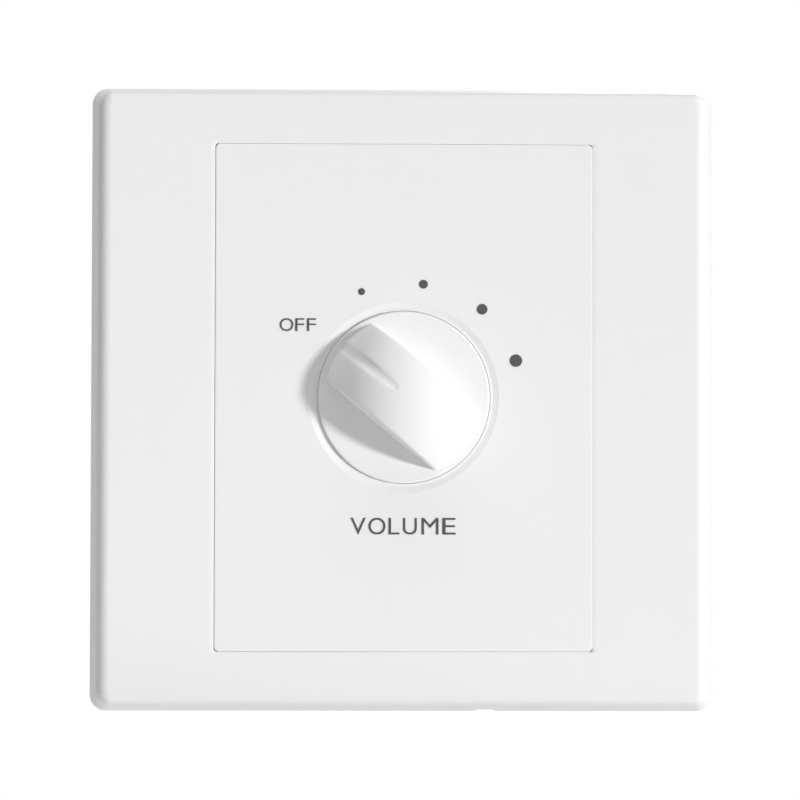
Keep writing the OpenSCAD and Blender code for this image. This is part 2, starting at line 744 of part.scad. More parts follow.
// Leaf spring whose round nose drops into a notch of the index wheel
module index_spring() color(bronze) on_wall() rotate([0, 0, index_angle]) {
    z0 = z_wheel_back + (wheel_t - leaf_w) / 2;
    block(leaf_x + leaf_t / 2, 0, leaf_t, leaf_l, z0, z0 + leaf_w);
    translate([notch_at, 0, 0]) rod(nose_r, z0, z0 + leaf_w);
}

// Body of the switch, with slots for the ends of the index spring
module switch_housing() color(phenolic) on_wall() difference() {
    between(z_wafer, z_housing) switch_outline();
    rod(housing_bore_r, z_wafer - cut, z_housing + cut);
    corners(rivet_at, rivet_at) rod(rivet_d / 2 + hole_gap, z_wafer - cut, z_housing + cut);
    rotate([0, 0, index_angle])
        block(leaf_x + leaf_t / 2, 0, leaf_t + 2 * hole_gap, leaf_l + 4 * hole_gap,
              z_wheel_back, z_housing + cut);
}

// Insulating disc on the shaft that carries the wiper
module switch_rotor() color(nylon) along_pointer() difference() {
    union() {
        rod(rotor_r, z_rotor_back, z_rotor);
        rod(shaft_d / 2 + 1.5, z_rotor - weld, z_wheel_back);
    }
    drive_hole(z_rotor_back - cut, z_wheel_back + cut);
}

// Spring contact under the rotor that joins the common ring to one fixed contact
module wiper() color(bronze) along_pointer() {
    z0 = z_rotor_back - wiper_t;
    tip = contact_r + contact_d / 2;
    difference() {
        union() {
            rod(common_r + common_band / 2, z0, z_rotor_back);
            block(-tip / 2, 0, tip, 2 * finger_w, z0, z_rotor_back);
        }
        rod(pilot_d / 2 + slack, z0 - cut, z_rotor_back + cut);
    }
    for (r = [common_r, contact_r])
        block(-r, 0, finger_t, finger_w, z_contact + touch, z0 + wiper_t / 2);
}

// Insulating end plate that holds the contacts
module contact_wafer() color(phenolic) on_wall() difference() {
    between(z_wafer_back, z_wafer) switch_outline();
    rod(pilot_d / 2 + touch, z_wafer_back - cut, z_wafer + cut);
    at_contacts() rod(pin_d / 2 + hole_gap, z_wafer_back - cut, z_wafer + cut);
    at_common() rod(pin_d / 2 + hole_gap, z_wafer_back - cut, z_wafer + cut);
    corners(rivet_at, rivet_at) rod(rivet_d / 2 + hole_gap, z_wafer_back - cut, z_wafer + cut);
}

module at_contacts()
    for (i = [0 : positions - 1])
        rotate([0, 0, contact_angle - i * index_step]) translate([contact_r, 0, 0]) children();

module at_common() rotate([0, 0, index_angle]) translate([common_r, 0, 0]) children();

// One contact for each position and the common ring, each with its solder pin
module fixed_contacts() color(brass) on_wall() {
    at_contacts() {
        rod(contact_d / 2, z_wafer, z_contact);
        rod(pin_d / 2, z_board_back - pin_stub, z_wafer + contact_t / 2);
    }
    difference() {
        rod(common_r + common_band / 2, z_wafer, z_contact);
        rod(common_r - common_band / 2, z_wafer - cut, z_contact + cut);
    }
    at_common() rod(pin_d / 2, z_board_back - pin_stub, z_wafer + contact_t / 2);
}

// Rivets through flange, housing and wafer
module switch_rivets() color(steel) on_wall() corners(rivet_at, rivet_at) {
    rod(rivet_d / 2, z_wafer_back - weld, z_flange + weld);
    rod(rivet_head_d / 2, z_flange, z_flange + rivet_head_t);
    rod(rivet_head_d / 2, z_wafer_back - rivet_head_t, z_wafer_back);
}

// Board that joins the switch, the transformer and the terminals
module circuit_board() color(board_green) on_wall() difference() {
    between(z_board_back, z_board) rounded_rect(board_w, board_h, 2);
    through_board() {
        at_contacts() circle(pin_d / 2 + hole_gap);
        at_common() circle(pin_d / 2 + hole_gap);
        at_coil_pins() circle(coil_pin_d / 2 + hole_gap);
        at_ways() circle(pin_d / 2 + hole_gap);
        upper_posts() circle(screw_d / 2 + 2 * hole_gap);
        lower_posts() circle(screw_d / 2 + 2 * hole_gap);
    }
}

module through_board() between(z_board_back - cut, z_board + cut) children();

// Lower screws that hold the board to the base
module board_screws() color(steel) on_wall() lower_posts() screw(z_board_back, board_t + screw_grip);

module at_core() translate([0, core_y, 0]) children();

// E-shaped laminations: two outer limbs, the middle limb and the back yoke
module core_e_stack() color(core_grey) on_wall() at_core() {
    block(0, 0, core_w, core_stack, z_core_back, z_window_back);
    block(0, 0, 2 * limb_w, core_stack, z_window_back - weld, z_window);
    pair(core_w / 2 - limb_w / 2) block(0, 0, limb_w, core_stack, z_window_back - weld, z_window);
}

// I-shaped laminations that close the core
module core_i_stack() color(core_grey) on_wall() at_core()
    block(0, 0, core_w, core_stack, z_window, z_core);

// Plastic former of the coil, with two legs that stand on the board
module coil_bobbin() color(bobbin_black) on_wall() at_core() difference() {
    z0 = z_window_back + limb_gap;
    z1 = z_window - limb_gap;
    union() {
        block(0, 0, 2 * (tube_x + bobbin_t), 2 * (tube_y + bobbin_t), z0, z1);
        for (z = [z0, z1 - bobbin_t]) block(0, 0, 2 * flange_x, 2 * flange_y, z, z + bobbin_t);
        for (side = [-1, 1]) {
            leg_mid = side * (leg_y + flange_y) / 2;
            block(0, leg_mid, 2 * flange_x, flange_y - leg_y, z1 - weld, z_board_back - leg_stand);
            pair(flange_x - foot_w / 2) block(0, leg_mid, foot_w, flange_y - leg_y, z1, z_board_back);
        }
    }
    block(0, 0, 2 * tube_x, 2 * tube_y, z0 - cut, z1 + cut);
    translate([0, -core_y, 0]) at_coil_pins()
        rod(coil_pin_d / 2 + touch, z_board_back - leg_stand - coil_pin_in, z_board_back);
}

// Copper winding on the bobbin
module coil_winding() color(copper) on_wall() at_core()
    coil_ring(tube_x + bobbin_t + touch, tube_y + bobbin_t + touch, 0.2, coil_x, coil_y);

// Tape wrapped round the winding
module coil_tape() color(tape_yellow) on_wall() at_core()
    coil_ring(coil_x + touch / 2, coil_y + touch / 2, coil_corner_r, coil_x + tape_t, coil_y + tape_t);

// A rectangular ring between the bobbin's flanges, with its inner and outer half sides
module coil_ring(in_x, in_y, in_r, out_x, out_y)
    between(z_window_back + limb_gap + bobbin_t + touch, z_window - limb_gap - bobbin_t - touch)
        difference() {
            rounded_rect(2 * out_x, 2 * out_y, coil_corner_r + tape_t);
            rounded_rect(2 * in_x, 2 * in_y, in_r);
        }

module at_coil_pins()
    for (side = [-1, 1], i = [0 : coil_pins - 1])
        translate([(i - (coil_pins - 1) / 2) * coil_pin_pitch, core_y + side * coil_pin_y, 0]) children();

// Solder pins of the transformer
module transformer_pins() color(steel) on_wall() at_coil_pins()
    rod(coil_pin_d / 2, z_board_back - leg_stand - coil_pin_in + touch, z_board + pin_stub);

// Steel strap round the core whose ears are screwed down with the board
module transformer_strap() color(steel) on_wall() at_core() {
    side_x = core_w / 2 + strap_t / 2;
    block(0, 0, core_w + 2 * strap_t, strap_w, z_core_back - strap_t, z_core_back);
    pair(side_x) block(0, 0, strap_t, strap_w, z_core_back - weld, z_board_back);
    difference() {
        pair(ear_x) block(0, 0, ear_l + 2 * weld, strap_w, z_board_back - strap_t, z_board_back);
        pair(ear_x) rod(screw_d / 2 + 2 * hole_gap, z_board_back - strap_t - cut, z_board_back + cut);
    }
}

// Screws through the strap's ears and the board into the base
module strap_screws() color(steel) on_wall() upper_posts()
    screw(z_board_back - strap_t, strap_t + board_t + screw_grip);

// The terminals, at the middle of each clamp
module at_ways()
    for (i = [0 : ways - 1]) translate([(i - (ways - 1) / 2) * way_pitch, cage_y, 0]) children();

// Housing of the terminal block: wires enter from below and the screws face backwards
module terminal_housing() color(terminal_green) on_wall() difference() {
    block(0, cage_y, term_w, term_d, z_board_back - term_h, z_board_back);
    at_ways() {
        block(0, 0, cage_w + 2 * touch, cage_d + 2 * touch, z_cage_back - touch, z_board_back + cut);
        block(0, -term_d / 2, wire_w, 2 * (term_wall + cut), z_wire - wire_h, z_wire);
        rod(clamp_head_d / 2 + hole_gap, z_board_back - term_h - cut, z_cage_back + touch);
    }
}

// Brass cages that clamp the wires
module terminal_cages() color(brass) on_wall() at_ways() difference() {
    block(0, 0, cage_w, cage_d, z_cage_back, z_cage);
    block(0, 0, wire_w, cage_d + cut, z_wire - wire_h, z_wire);
    rod(clamp_screw_d / 2 + touch, z_cage_back - cut, z_wire - wire_h + cut);
}

// Clamp screws, drawn back so that the wire openings are free
module terminal_screws() color(steel) on_wall() at_ways() difference() {
    union() {
        rod(clamp_screw_d / 2, z_cage_back - weld, z_wire - wire_h + clamp_reach);
        rod(clamp_head_d / 2, z_cage_back - clamp_head_t, z_cage_back);
    }
    block(0, 0, clamp_head_d + cut, 0.6, z_cage_back - clamp_head_t - cut, z_cage_back - clamp_head_t + 0.8);
}

// Solder pins of the terminals
module terminal_pins() color(brass) on_wall() at_ways() rod(pin_d / 2, z_cage, z_board + pin_stub);

cover_frame();
insert_panel();
level_dots();
mounting_base();
panel_screws();
knob();
knob_clip();
bushing_flange();
bushing_nut();
lock_washer();
switch_shaft();
shaft_clip();
index_wheel();
index_spring();
stop_pins();
switch_housing();
switch_rotor();
wiper();
contact_wafer();
fixed_contacts();
switch_rivets();
circuit_board();
board_screws();
core_e_stack();
core_i_stack();
coil_bobbin();
coil_winding();
coil_tape();
transformer_strap();
strap_screws();
transformer_pins();
terminal_housing();
terminal_cages();
terminal_screws();
terminal_pins();
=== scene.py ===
"""Looks of a wall-mounted speaker volume control: its white plate and knob, and the works behind them."""
import json
import math
import random
from collections import namedtuple

import bmesh
import bpy
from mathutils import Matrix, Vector


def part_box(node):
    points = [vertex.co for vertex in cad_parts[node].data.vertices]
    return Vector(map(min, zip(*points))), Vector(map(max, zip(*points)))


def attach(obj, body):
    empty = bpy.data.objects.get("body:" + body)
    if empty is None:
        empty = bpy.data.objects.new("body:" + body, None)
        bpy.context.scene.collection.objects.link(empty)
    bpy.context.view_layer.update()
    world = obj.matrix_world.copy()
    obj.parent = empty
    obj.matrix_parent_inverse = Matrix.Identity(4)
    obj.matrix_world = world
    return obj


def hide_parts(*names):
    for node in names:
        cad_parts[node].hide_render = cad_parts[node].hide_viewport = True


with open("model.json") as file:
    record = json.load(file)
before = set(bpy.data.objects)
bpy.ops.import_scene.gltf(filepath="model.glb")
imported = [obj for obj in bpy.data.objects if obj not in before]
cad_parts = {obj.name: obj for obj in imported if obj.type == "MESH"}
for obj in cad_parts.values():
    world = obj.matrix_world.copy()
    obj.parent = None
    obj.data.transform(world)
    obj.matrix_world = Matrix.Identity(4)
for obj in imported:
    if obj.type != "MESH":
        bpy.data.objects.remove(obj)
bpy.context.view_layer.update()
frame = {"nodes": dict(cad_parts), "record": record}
NODES = frame["nodes"]
SLOT_OF = {part["node"]: part["material_slot"] for part in frame["record"]["subparts"]}
BODY_OF = {node: body for body, nodes in frame["record"]["behaviour"]["bodies"].items() for node in nodes}

MM = 0.001
RIGHT_ANGLE = math.radians(90)
UPRIGHT = (RIGHT_ANGLE, 0, 0)

# Cover frame: the plate looks along -Y, the wall is the plane Y = 0, and frame and panel are flush
plate_low, plate_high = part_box("cover_frame")
panel_low, panel_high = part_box("insert_panel")
PLATE = plate_high.x - plate_low.x
WALL = plate_high.y
FACE = panel_low.y
PLATE_CORNER = 2.2 * MM
PLATE_EDGE = 2.0 * MM
PLATE_LEAN = 1.1 * MM
SIDE_WALL = 2.4 * MM
FACE_T = 2.0 * MM
WINDOW_CORNER = 0.4 * MM
WINDOW_EDGE = 0.55 * MM
WINDOW_DIP = 0.05 * MM
WINDOW_CREASE = 0.02 * MM
LIP_T = 1.2 * MM
LIP_DEPTH = 3.4 * MM
CAVITY = PLATE - 2 * SIDE_WALL
CAVITY_CORNER = 1.2 * MM
PRY_W = 2.6 * MM
PRY_H = 1.4 * MM
PRY_X = 11.5 * MM
PRY_ROUND = 0.1 * MM

# Insert panel
PANEL_FIT = 0.14 * MM
PANEL_W = panel_high.x - panel_low.x + PANEL_FIT
PANEL_H = panel_high.z - panel_low.z + PANEL_FIT
PANEL_T = 2.0 * MM
PANEL_CORNER = 0.6 * MM
PANEL_EDGE = 0.35 * MM
PANEL_DIP = 0.07 * MM
PANEL_SHIFT = 0.02 * MM
PANEL_GAP = 0.035 * MM
BASE_FRONT = -2.6 * MM
POCKET_DEPTH = 0.6 * MM
RING_FLOOR_W = 0.35 * MM
RING_SLOPE = 0.8 * MM
RING_DEPTH = 0.25 * MM
WELL_R = 8.2 * MM
WELL_T = 1.8 * MM
WELL_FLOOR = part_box("lock_washer")[1].y
WELL_BACK = panel_high.y
BUSH_HOLE_R = 4.6 * MM

# Knob
knob_low, knob_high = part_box("knob")
KNOB_R = (knob_high.z - knob_low.z) / 2
KNOB_UNDER = knob_high.y
KNOB_GAP = 0.07 * MM
POCKET_R = KNOB_R + KNOB_GAP
APEX = knob_low.y
KNOB_RISE = 0.3 * MM
DISC = FACE - KNOB_RISE
RIM_R = 0.35 * MM
GRIP_HALF = 5.05 * MM
GRIP_LEAN = 0.1 * MM
GRIP_END = 10.8 * MM
GRIP_ROUND = 0.8 * MM
GRIP_FOOT = 0.3 * MM
DOME_R = 11.6 * MM
DOME_CENTRE = APEX + DOME_R
GROOVE_BAR_R = 1.5 * MM
GROOVE_DEPTH = 0.08 * MM
GROOVE_SHIFT = 0.26 * MM
GROOVE_START = 0.6 * MM
HUB_BORE_R = 3.1 * MM
SHAFT_ROOM = 0.2 * MM
OFF_ANGLE = math.radians(140.5)

# Print on the panel, placed from the knob's axis
INK_T = 0.08 * MM
DOT_ARC = 16.4 * MM
DOT_DROP = 0.8 * MM
DOT_D = 0.95 * MM
DOT_GROWTH = 0.25 * MM
# The print is a little uneven: how far each dot lies from its even place, in mm across and up
DOT_NUDGES = ((-0.03, -0.17), (-0.05, 0.06), (0.24, 0.19), (-0.07, 0.1))
STEP_ANGLE = math.radians(30)
# Each sign of a word with its left and right edge in mm, and the word's lower and upper edge
OFF_SIGNS = (("O", -16.9, -15.06), ("F", -14.8, -13.58), ("F", -13.2, -11.98))
OFF_LEVELS = (8.98, 10.72)
NAME_SIGNS = (("V", -7.2, -5.13), ("O", -4.75, -2.45), ("L", -2.02, -0.56),
              ("U", -0.05, 1.82), ("M", 2.47, 4.77), ("E", 5.31, 7.1))
NAME_LEVELS = (-18.68, -16.42)
# Strokes are a little thinner than the font's, and a sign's first depth may be any
STROKE_OFFSET = -0.004
SIGN_DEPTH = 0.5

# Mounting base, with the marks of the mould's ejector pins
BASE_EDGE = 0.2 * MM
EJECTOR_X = (-33 * MM, 33 * MM)
EJECTOR_Z = (-33 * MM, -12 * MM, 12 * MM, 33 * MM)
EJECTOR_R = 2.2 * MM
EJECTOR_DEPTH = 0.12 * MM

# Switch pins, which come through the board below the transformer
CONTACT_R = 7.5 * MM
COMMON_R = 4.4 * MM
CONTACTS = [OFF_ANGLE + math.pi - i * STEP_ANGLE for i in range(len(DOT_NUDGES) + 1)]
# Radius and height of the rings of a solder cone in mm
SOLDER_CONE = ((1.0, 0), (1.0, 0.05), (0.72, 0.14), (0.58, 0.34), (0.5, 0.6), (0.3, 0.7))

# Transformer
coil_low, coil_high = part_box("coil_bobbin")
yoke_low, yoke_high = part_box("core_i_stack")
stack_low, stack_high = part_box("core_e_stack")
strap_low, strap_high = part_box("transformer_strap")
COIL_Z = (stack_low.z + stack_high.z) / 2
LIMB = yoke_high.y - yoke_low.y
SHEETS = 28
SHEET_PITCH = (stack_high.z - stack_low.z) / SHEETS
SHEET_GAP = 0.07 * MM
SHEET_SLIP = 0.05 * MM
SHEET_EDGE = 0.05 * MM
E_SEED = 3
I_SEED = 5
TAPE_STEP = 0.1 * MM
TAPE_CORNER = 2.3 * MM
TAPE_MARGIN = 1.3 * MM
TAPE_WALL = 0.28 * MM
TAPE_END_ROUND = 0.04 * MM
STRAP_T = 1.0 * MM
STRAP_BEND = 1.6 * MM
STRAP_END = 2.6 * MM
STRAP_HOLE_GAP = 0.2 * MM
STRAP_EDGE = 0.12 * MM
WIRE_TURNS = 30
WIRE_STEPS = 4
WINDING_CORNER = 2.3 * MM
WINDING_BORE_W = 2 * 6.85 * MM
WINDING_BORE_H = 2 * 8.05 * MM
WINDING_BORE_CORNER = 0.2 * MM

# Pins of the transformer and the ends of its winding
COIL_PINS = 5
COIL_PIN_PITCH = 4.0 * MM
COIL_PIN_X = [(i - (COIL_PINS - 1) / 2) * COIL_PIN_PITCH for i in range(COIL_PINS)]
COIL_PIN_R = 0.4 * MM
PIN_ROWS = [COIL_Z - 10.25 * MM, COIL_Z + 10.25 * MM]
COIL_PIN_PLACES = [(x, z) for z in PIN_ROWS for x in COIL_PIN_X]
LEAD_R = 0.14 * MM
LEAD_LIFT = LEAD_R + 0.03 * MM
LEAD_DIP = 0.3 * MM
LEAD_TURNS = 3
LEAD_PITCH = 0.25 * MM
# Points of a lead in mm: beside its pin and behind the tape's front, then the bobbin's front
LEAD_AT_TAPE = ((1.2, 2.2), (0.8, 1.0), (0.5, -0.4), (0.2, -3.0))
LEAD_AT_FOOT = (1.6, 0.55, 0.5)

# Screws
SCREW_R = 1.45 * MM
HEAD_R = 2.6 * MM
HEAD_T = 1.2 * MM
HEAD_SIDE = 0.45 * MM
CROSS_L = 3.1 * MM
CROSS_W = 0.72 * MM
CROSS_DEPTH = 0.7 * MM
CROSS_ROUND = 0.08 * MM

# Terminal block
block_low, block_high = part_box("terminal_housing")
clamp_low, clamp_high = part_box("terminal_screws")
cage_low, cage_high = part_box("terminal_cages")
BLOCK_Z = (block_low.z + block_high.z) / 2
BLOCK_ROUND = 0.35 * MM
WAYS = 4
CAGE_W = 3.7 * MM
CAGE_ROOM = 0.05 * MM
CAGE_ROUND = 0.02 * MM
WAY_PITCH = (cage_high.x - cage_low.x - CAGE_W) / (WAYS - 1)
WAY_X = [(i - (WAYS - 1) / 2) * WAY_PITCH for i in range(WAYS)]
WIRE_W = 2.7 * MM
WIRE_H = 3.2 * MM
WIRE_Y = 13.6 * MM
WIRE_ROUND = 0.15 * MM
WIRE_INTO_CAGE = 0.2 * MM
FUNNEL = 0.35 * MM
FUNNEL_ROUND = 0.3 * MM
GROOVE_HALF = 0.2 * MM
GROOVE_BACK = 0.5 * MM
GROOVE_FOOT = 0.4 * MM
GROOVE_FRONT = 0.8 * MM
FINE_ROUND = 0.05 * MM
CLAMP_R = 1.7 * MM
CLAMP_ROOM = 0.15 * MM
CLAMP_HEAD_T = 1.6 * MM
CLAMP_EDGE = 0.25 * MM
CLAMP_SHANK_R = 1.2 * MM
CLAMP_SLOT_W = 0.6 * MM
CLAMP_SLOT_DEPTH = 0.8 * MM

# Board: copper traces, pads and printed outlines
board_low, board_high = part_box("circuit_board")
TRACE_T = 0.05 * MM
TAP_HALF = 0.4 * MM
LINE_HALF = 0.7 * MM
MITRE_LIMIT = 0.3
PRINT_T = 0.07 * MM
PRINT_HALF = 0.11 * MM
PRINT_CLEAR = 0.7
PRINT_BREAK = 0.5
PAD_R = 3.3 * MM
PAD_HOLE_R = SCREW_R + 0.25 * MM

# Nodes that keep their CAD form and only get broken edges, with the width of these in mm
EDGE_WIDTHS = {
    "circuit_board": 0.06,
    "coil_bobbin": 0.15,
    "switch_housing": 0.2,
    "contact_wafer": 0.12,
    "terminal_cages": 0.08,
    "bushing_flange": 0.15,
    "bushing_nut": 0.12,
    "lock_washer": 0.05,
    "switch_shaft": 0.1,
    "shaft_clip": 0.05,
    "knob_clip": 0.05,
    "index_wheel": 0.06,
    "index_spring": 0.03,
    "stop_pins": 0.08,
    "switch_rotor": 0.12,
    "wiper": 0.04,
    "fixed_contacts": 0.04,
    "switch_rivets": 0.08,
    "terminal_pins": 0.05,
    "transformer_pins": 0.05,
}

# An outline of a loft at one level: half its width and height, and the radius of its corners
Outline = namedtuple("Outline", "half_w half_h corner y")
HAIR = 0.0005
ARC_STEPS = 8

# How near points are merged, how far cutters go past a face, and how exact a place is picked
MERGE = 0.002 * MM
CUT_PAST = 1 * MM
PICK_SLACK = 0.01 * MM

# Edges sharper than these angles in degrees stay sharp
SHARP = 40
CUT_SHARP = 30
CONE_SHARP = 60
PANEL_SHARP = 12
FLAT = math.radians(1)


# Modelling

def link_piece(name, data):
    """Puts a new object into the scene."""
    piece = bpy.data.objects.new(name, data)
    bpy.context.collection.objects.link(piece)
    return piece


def only(piece):
    """Selects one piece, makes it active and lets go of all others."""
    bpy.ops.object.select_all(action="DESELECT")
    bpy.context.view_layer.objects.active = piece
    piece.select_set(True)


def mark_all():
    """Selects all of the open mesh."""
    bpy.ops.mesh.select_all(action="SELECT")


def mark_none():
    """Selects nothing of the open mesh."""
    bpy.ops.mesh.select_all(action="DESELECT")


def open_mesh(piece):
    """Opens a piece in edit mode with its whole mesh selected."""
    only(piece)
    bpy.ops.object.mode_set(mode="EDIT")
    mark_all()
    return piece


def begin(name):
    """Opens a new, empty piece in edit mode."""
    return open_mesh(link_piece(name, bpy.data.meshes.new(name)))


def close(piece):
    """Merges a piece's seams, turns its faces outwards and leaves edit mode."""
    mark_all()
    bpy.ops.mesh.remove_doubles(threshold=MERGE)
    bpy.ops.mesh.normals_make_consistent()
    bpy.ops.object.mode_set(mode="OBJECT")
    return piece


def select_points(piece, indices):
    """Selects only some vertices of the open piece, by number."""
    mark_none()
    mesh = bmesh.from_edit_mesh(piece.data)
    mesh.verts.ensure_lookup_table()
    for index in indices:
        mesh.verts[index].select_set(True)
    mesh.select_flush(True)
    bmesh.update_edit_mesh(piece.data)


def pick(piece, test):
    """Selects only the vertices of the open piece whose place passes a test."""
    mesh = bmesh.from_edit_mesh(piece.data)
    mesh.verts.index_update()
    select_points(piece, [vertex.index for vertex in mesh.verts if test(vertex.co)])


def rect(width, height, corner, y, inset=0):
    """A rectangle with rounded corners, drawn in by an inset all round."""
    return Outline(width / 2 - inset, height / 2 - inset, corner - inset, y)


def ring(radius, y):
    """A circle: a square with corners rounded but for a hair, which keeps its quarters apart."""
    return Outline(radius, radius, radius * (1 - HAIR), y)


def mirrored(outlines):
    """The same outlines on the other side of the plane Y = 0."""
    return [outline._replace(y=-outline.y) for outline in outlines]


def quarter_round(inset, drop):
    """Pairs of inset and drop along a rounded edge, from its foot to its top."""
    angles = [RIGHT_ANGLE * i / ARC_STEPS for i in range(ARC_STEPS + 1)]
    return [(inset * (1 - math.cos(a)), drop * (1 - math.sin(a))) for a in angles]


def extruded_edges(piece):
    """Extrudes the selected edges in place; gives the number and place of each new point."""
    bpy.ops.mesh.extrude_edges_move()
    mesh = bmesh.from_edit_mesh(piece.data)
    mesh.verts.index_update()
    return [(vertex.index, vertex.co.copy()) for vertex in mesh.verts if vertex.select]


def extrude_outline(piece, old, new):
    """Extrudes the selected outline and gives each corner its next radius and place."""
    rim = extruded_edges(piece)
    old_x, old_z = old.half_w - old.corner, old.half_h - old.corner
    new_x, new_z = new.half_w - new.corner, new.half_h - new.corner
    growth = new.corner / old.corner
    for side in (-1, 1):
        for rise in (-1, 1):
            select_points(piece, [i for i, co in rim if co.x * side > 0 and co.z * rise > 0])
            bpy.ops.transform.resize(
                value=(growth, growth, growth), center_override=(side * old_x, old.y, rise * old_z))
            bpy.ops.transform.translate(
                value=(side * (new_x - old_x), new.y - old.y, rise * (new_z - old_z)))
    select_points(piece, [i for i, co in rim])


def loft(name, outlines, steps, closed=False):
    """Extrudes an outline through others, and back to the first if closed, or gives it end faces."""
    piece = begin(name)
    first = outlines[0]
    place = (0, first.y, 0)
    bpy.ops.mesh.primitive_plane_add(size=1, location=place, rotation=UPRIGHT)
    bpy.ops.transform.resize(value=(2 * first.half_w, 1, 2 * first.half_h), center_override=place)
    bpy.ops.mesh.bevel(affect="VERTICES", offset=first.corner, segments=steps)
    bpy.ops.mesh.delete(type="ONLY_FACE")
    mark_all()
    row = outlines + outlines[:1] if closed else outlines
    for old, new in zip(row, row[1:]):
        extrude_outline(piece, old, new)
    if not closed:
        bpy.ops.mesh.edge_face_add()
        mark_none()
        bpy.ops.mesh.select_non_manifold()
        bpy.ops.mesh.edge_face_add()
    return close(piece)


def modify(piece, kind, **settings):
    """Gives a piece a modifier and applies it."""
    modifier = piece.modifiers.new(kind, kind)
    for name, value in settings.items():
        setattr(modifier, name, value)
    bpy.context.view_layer.objects.active = piece
    bpy.ops.object.modifier_apply(modifier=modifier.name)
    return piece


def carve(piece, tool, operation="DIFFERENCE"):
    """Cuts, joins or meets a piece with a tool shape, which is then thrown away."""
    modify(piece, "BOOLEAN", operation=operation, object=tool, solver="EXACT")
    bpy.data.objects.remove(tool)


def block(name, low, high, rounding):
    """Makes a box between two corners with rounded edges."""
    piece = begin(name)
    low, high = Vector(low), Vector(high)
    middle = (low + high) / 2
    bpy.ops.mesh.primitive_cube_add(size=1, location=middle)
    bpy.ops.transform.resize(value=high - low, center_override=middle)
    bpy.ops.mesh.bevel(affect="EDGES", offset=rounding, segments=3)
    return close(piece)


def about(middle, half):
    """The range that reaches equally far to both sides of a middle."""
    return middle - half, middle + half


def cut_box(piece, across, depth, height, rounding):
    """Cuts a rounded box out of a piece, by its ranges in X, Y and Z."""
    low, high = zip(across, depth, height)
    carve(piece, block("cutter", low, high, rounding))


def polish(piece, angle=SHARP):
    """Merges slivers left by cutting, shades a piece smooth up to an angle and keeps flats flat."""
    open_mesh(piece)
    bpy.ops.mesh.remove_doubles(threshold=MERGE)
    bpy.ops.mesh.dissolve_degenerate(threshold=MERGE)
    bpy.ops.object.mode_set(mode="OBJECT")
    bpy.ops.object.shade_smooth_by_angle(angle=math.radians(angle))
    return modify(piece, "WEIGHTED_NORMAL", keep_sharp=True)


def place_in_mesh(piece):
    """Moves a piece's place, turn and scale into its mesh."""
    only(piece)
    bpy.ops.object.transform_apply()


def moved(piece, place, turn=(0, 0, 0)):
    """Turns a piece and moves it to a place, in its mesh."""
    piece.rotation_euler = turn
    piece.location = place
    place_in_mesh(piece)
    return piece


def joined(pieces, name):
    """Joins some pieces into one."""
    whole = pieces[-1]
    only(whole)
    for piece in pieces:
        piece.select_set(True)
    bpy.ops.object.join()
    whole.name = name
    return whole


def copies(pattern, name, places):
    """Copies a pattern to some places, joins the copies and throws the pattern away."""
    twins = []
    for place in places:
        twin = link_piece(name, pattern.data.copy())
        twin.location = place
        twins.append(twin)
    bpy.data.objects.remove(pattern)
    piece = joined(twins, name)
    place_in_mesh(piece)
    return piece


def drill(piece, radius, x, z, y0, y1):
    """Drills a round hole along Y between two levels."""
    bit = loft("bit", [ring(radius, y0), ring(radius, y1)], steps=11)
    carve(piece, moved(bit, (x, 0, z)))


def rounded(piece, width, segments=2):
    """Rounds the sharp edges of a piece."""
    return modify(piece, "BEVEL", width=width, segments=segments,
                  limit_method="ANGLE", angle_limit=math.radians(SHARP))


def settle(piece, slot, finish=None, body="wall_unit"):
    """Gives a piece its body and one material: the finish named, or else the slot's own."""
    piece.data.materials.clear()
    piece.data.materials.append(FINISHES[finish or slot])
    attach(piece, body)


def stand_for(piece, node):
    """Settles a piece in the place of a CAD node, with the node's body and slot."""
    settle(piece, SLOT_OF[node], body=BODY_OF[node])
    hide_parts(node)


def softened(node, width):
    """A copy of a CAD node with rounded edges, which stands in for it."""
    piece = open_mesh(link_piece(node + "_body", NODES[node].data.copy()))
    bpy.ops.mesh.remove_doubles(threshold=MERGE)
    bpy.ops.mesh.dissolve_limited(angle_limit=FLAT)
    bpy.ops.object.mode_set(mode="OBJECT")
    stand_for(polish(rounded(piece, width)), node)
    return piece


# Materials

FINISHES = {}
RELIEF_DEPTH = 0.05 * MM


def feed(tree, entry, value):
    """Gives a shader node's input a value, or links it if the value is a socket."""
    if isinstance(value, bpy.types.NodeSocket):
        tree.links.new(value, entry)
    else:
        entry.default_value = value


def fill(tree, made, **values):
    """Feeds the inputs and sets the properties of a shader node by name."""
    for name, value in values.items():
        label = name.replace("_", " ")
        if label in made.inputs:
            feed(tree, made.inputs[label], value)
        else:
            setattr(made, name, value)
    return made


def add(tree, kind, **values):
    """Adds one shader node and fills it."""
    return fill(tree, tree.nodes.new(kind), **values)


def calc(tree, operation, *terms):
    """Result of a Math node, whose terms are numbers or sockets."""
    made = add(tree, "ShaderNodeMath", operation=operation)
    for entry, term in zip(made.inputs, terms):
        feed(tree, entry, term)
    return made.outputs[0]


def noise(tree, place, **values):
    """Noise over a piece."""
    return add(tree, "ShaderNodeTexNoise", Vector=place, **values).outputs["Fac"]


def spread(tree, value, **limits):
    """A value that is mapped from one range to another."""
    return add(tree, "ShaderNodeMapRange", Value=value, **limits).outputs["Result"]


def tinted(tree, colour, brightness):
    """A colour at another brightness."""
    return add(tree, "ShaderNodeHueSaturation", Color=colour, Value=brightness).outputs["Color"]


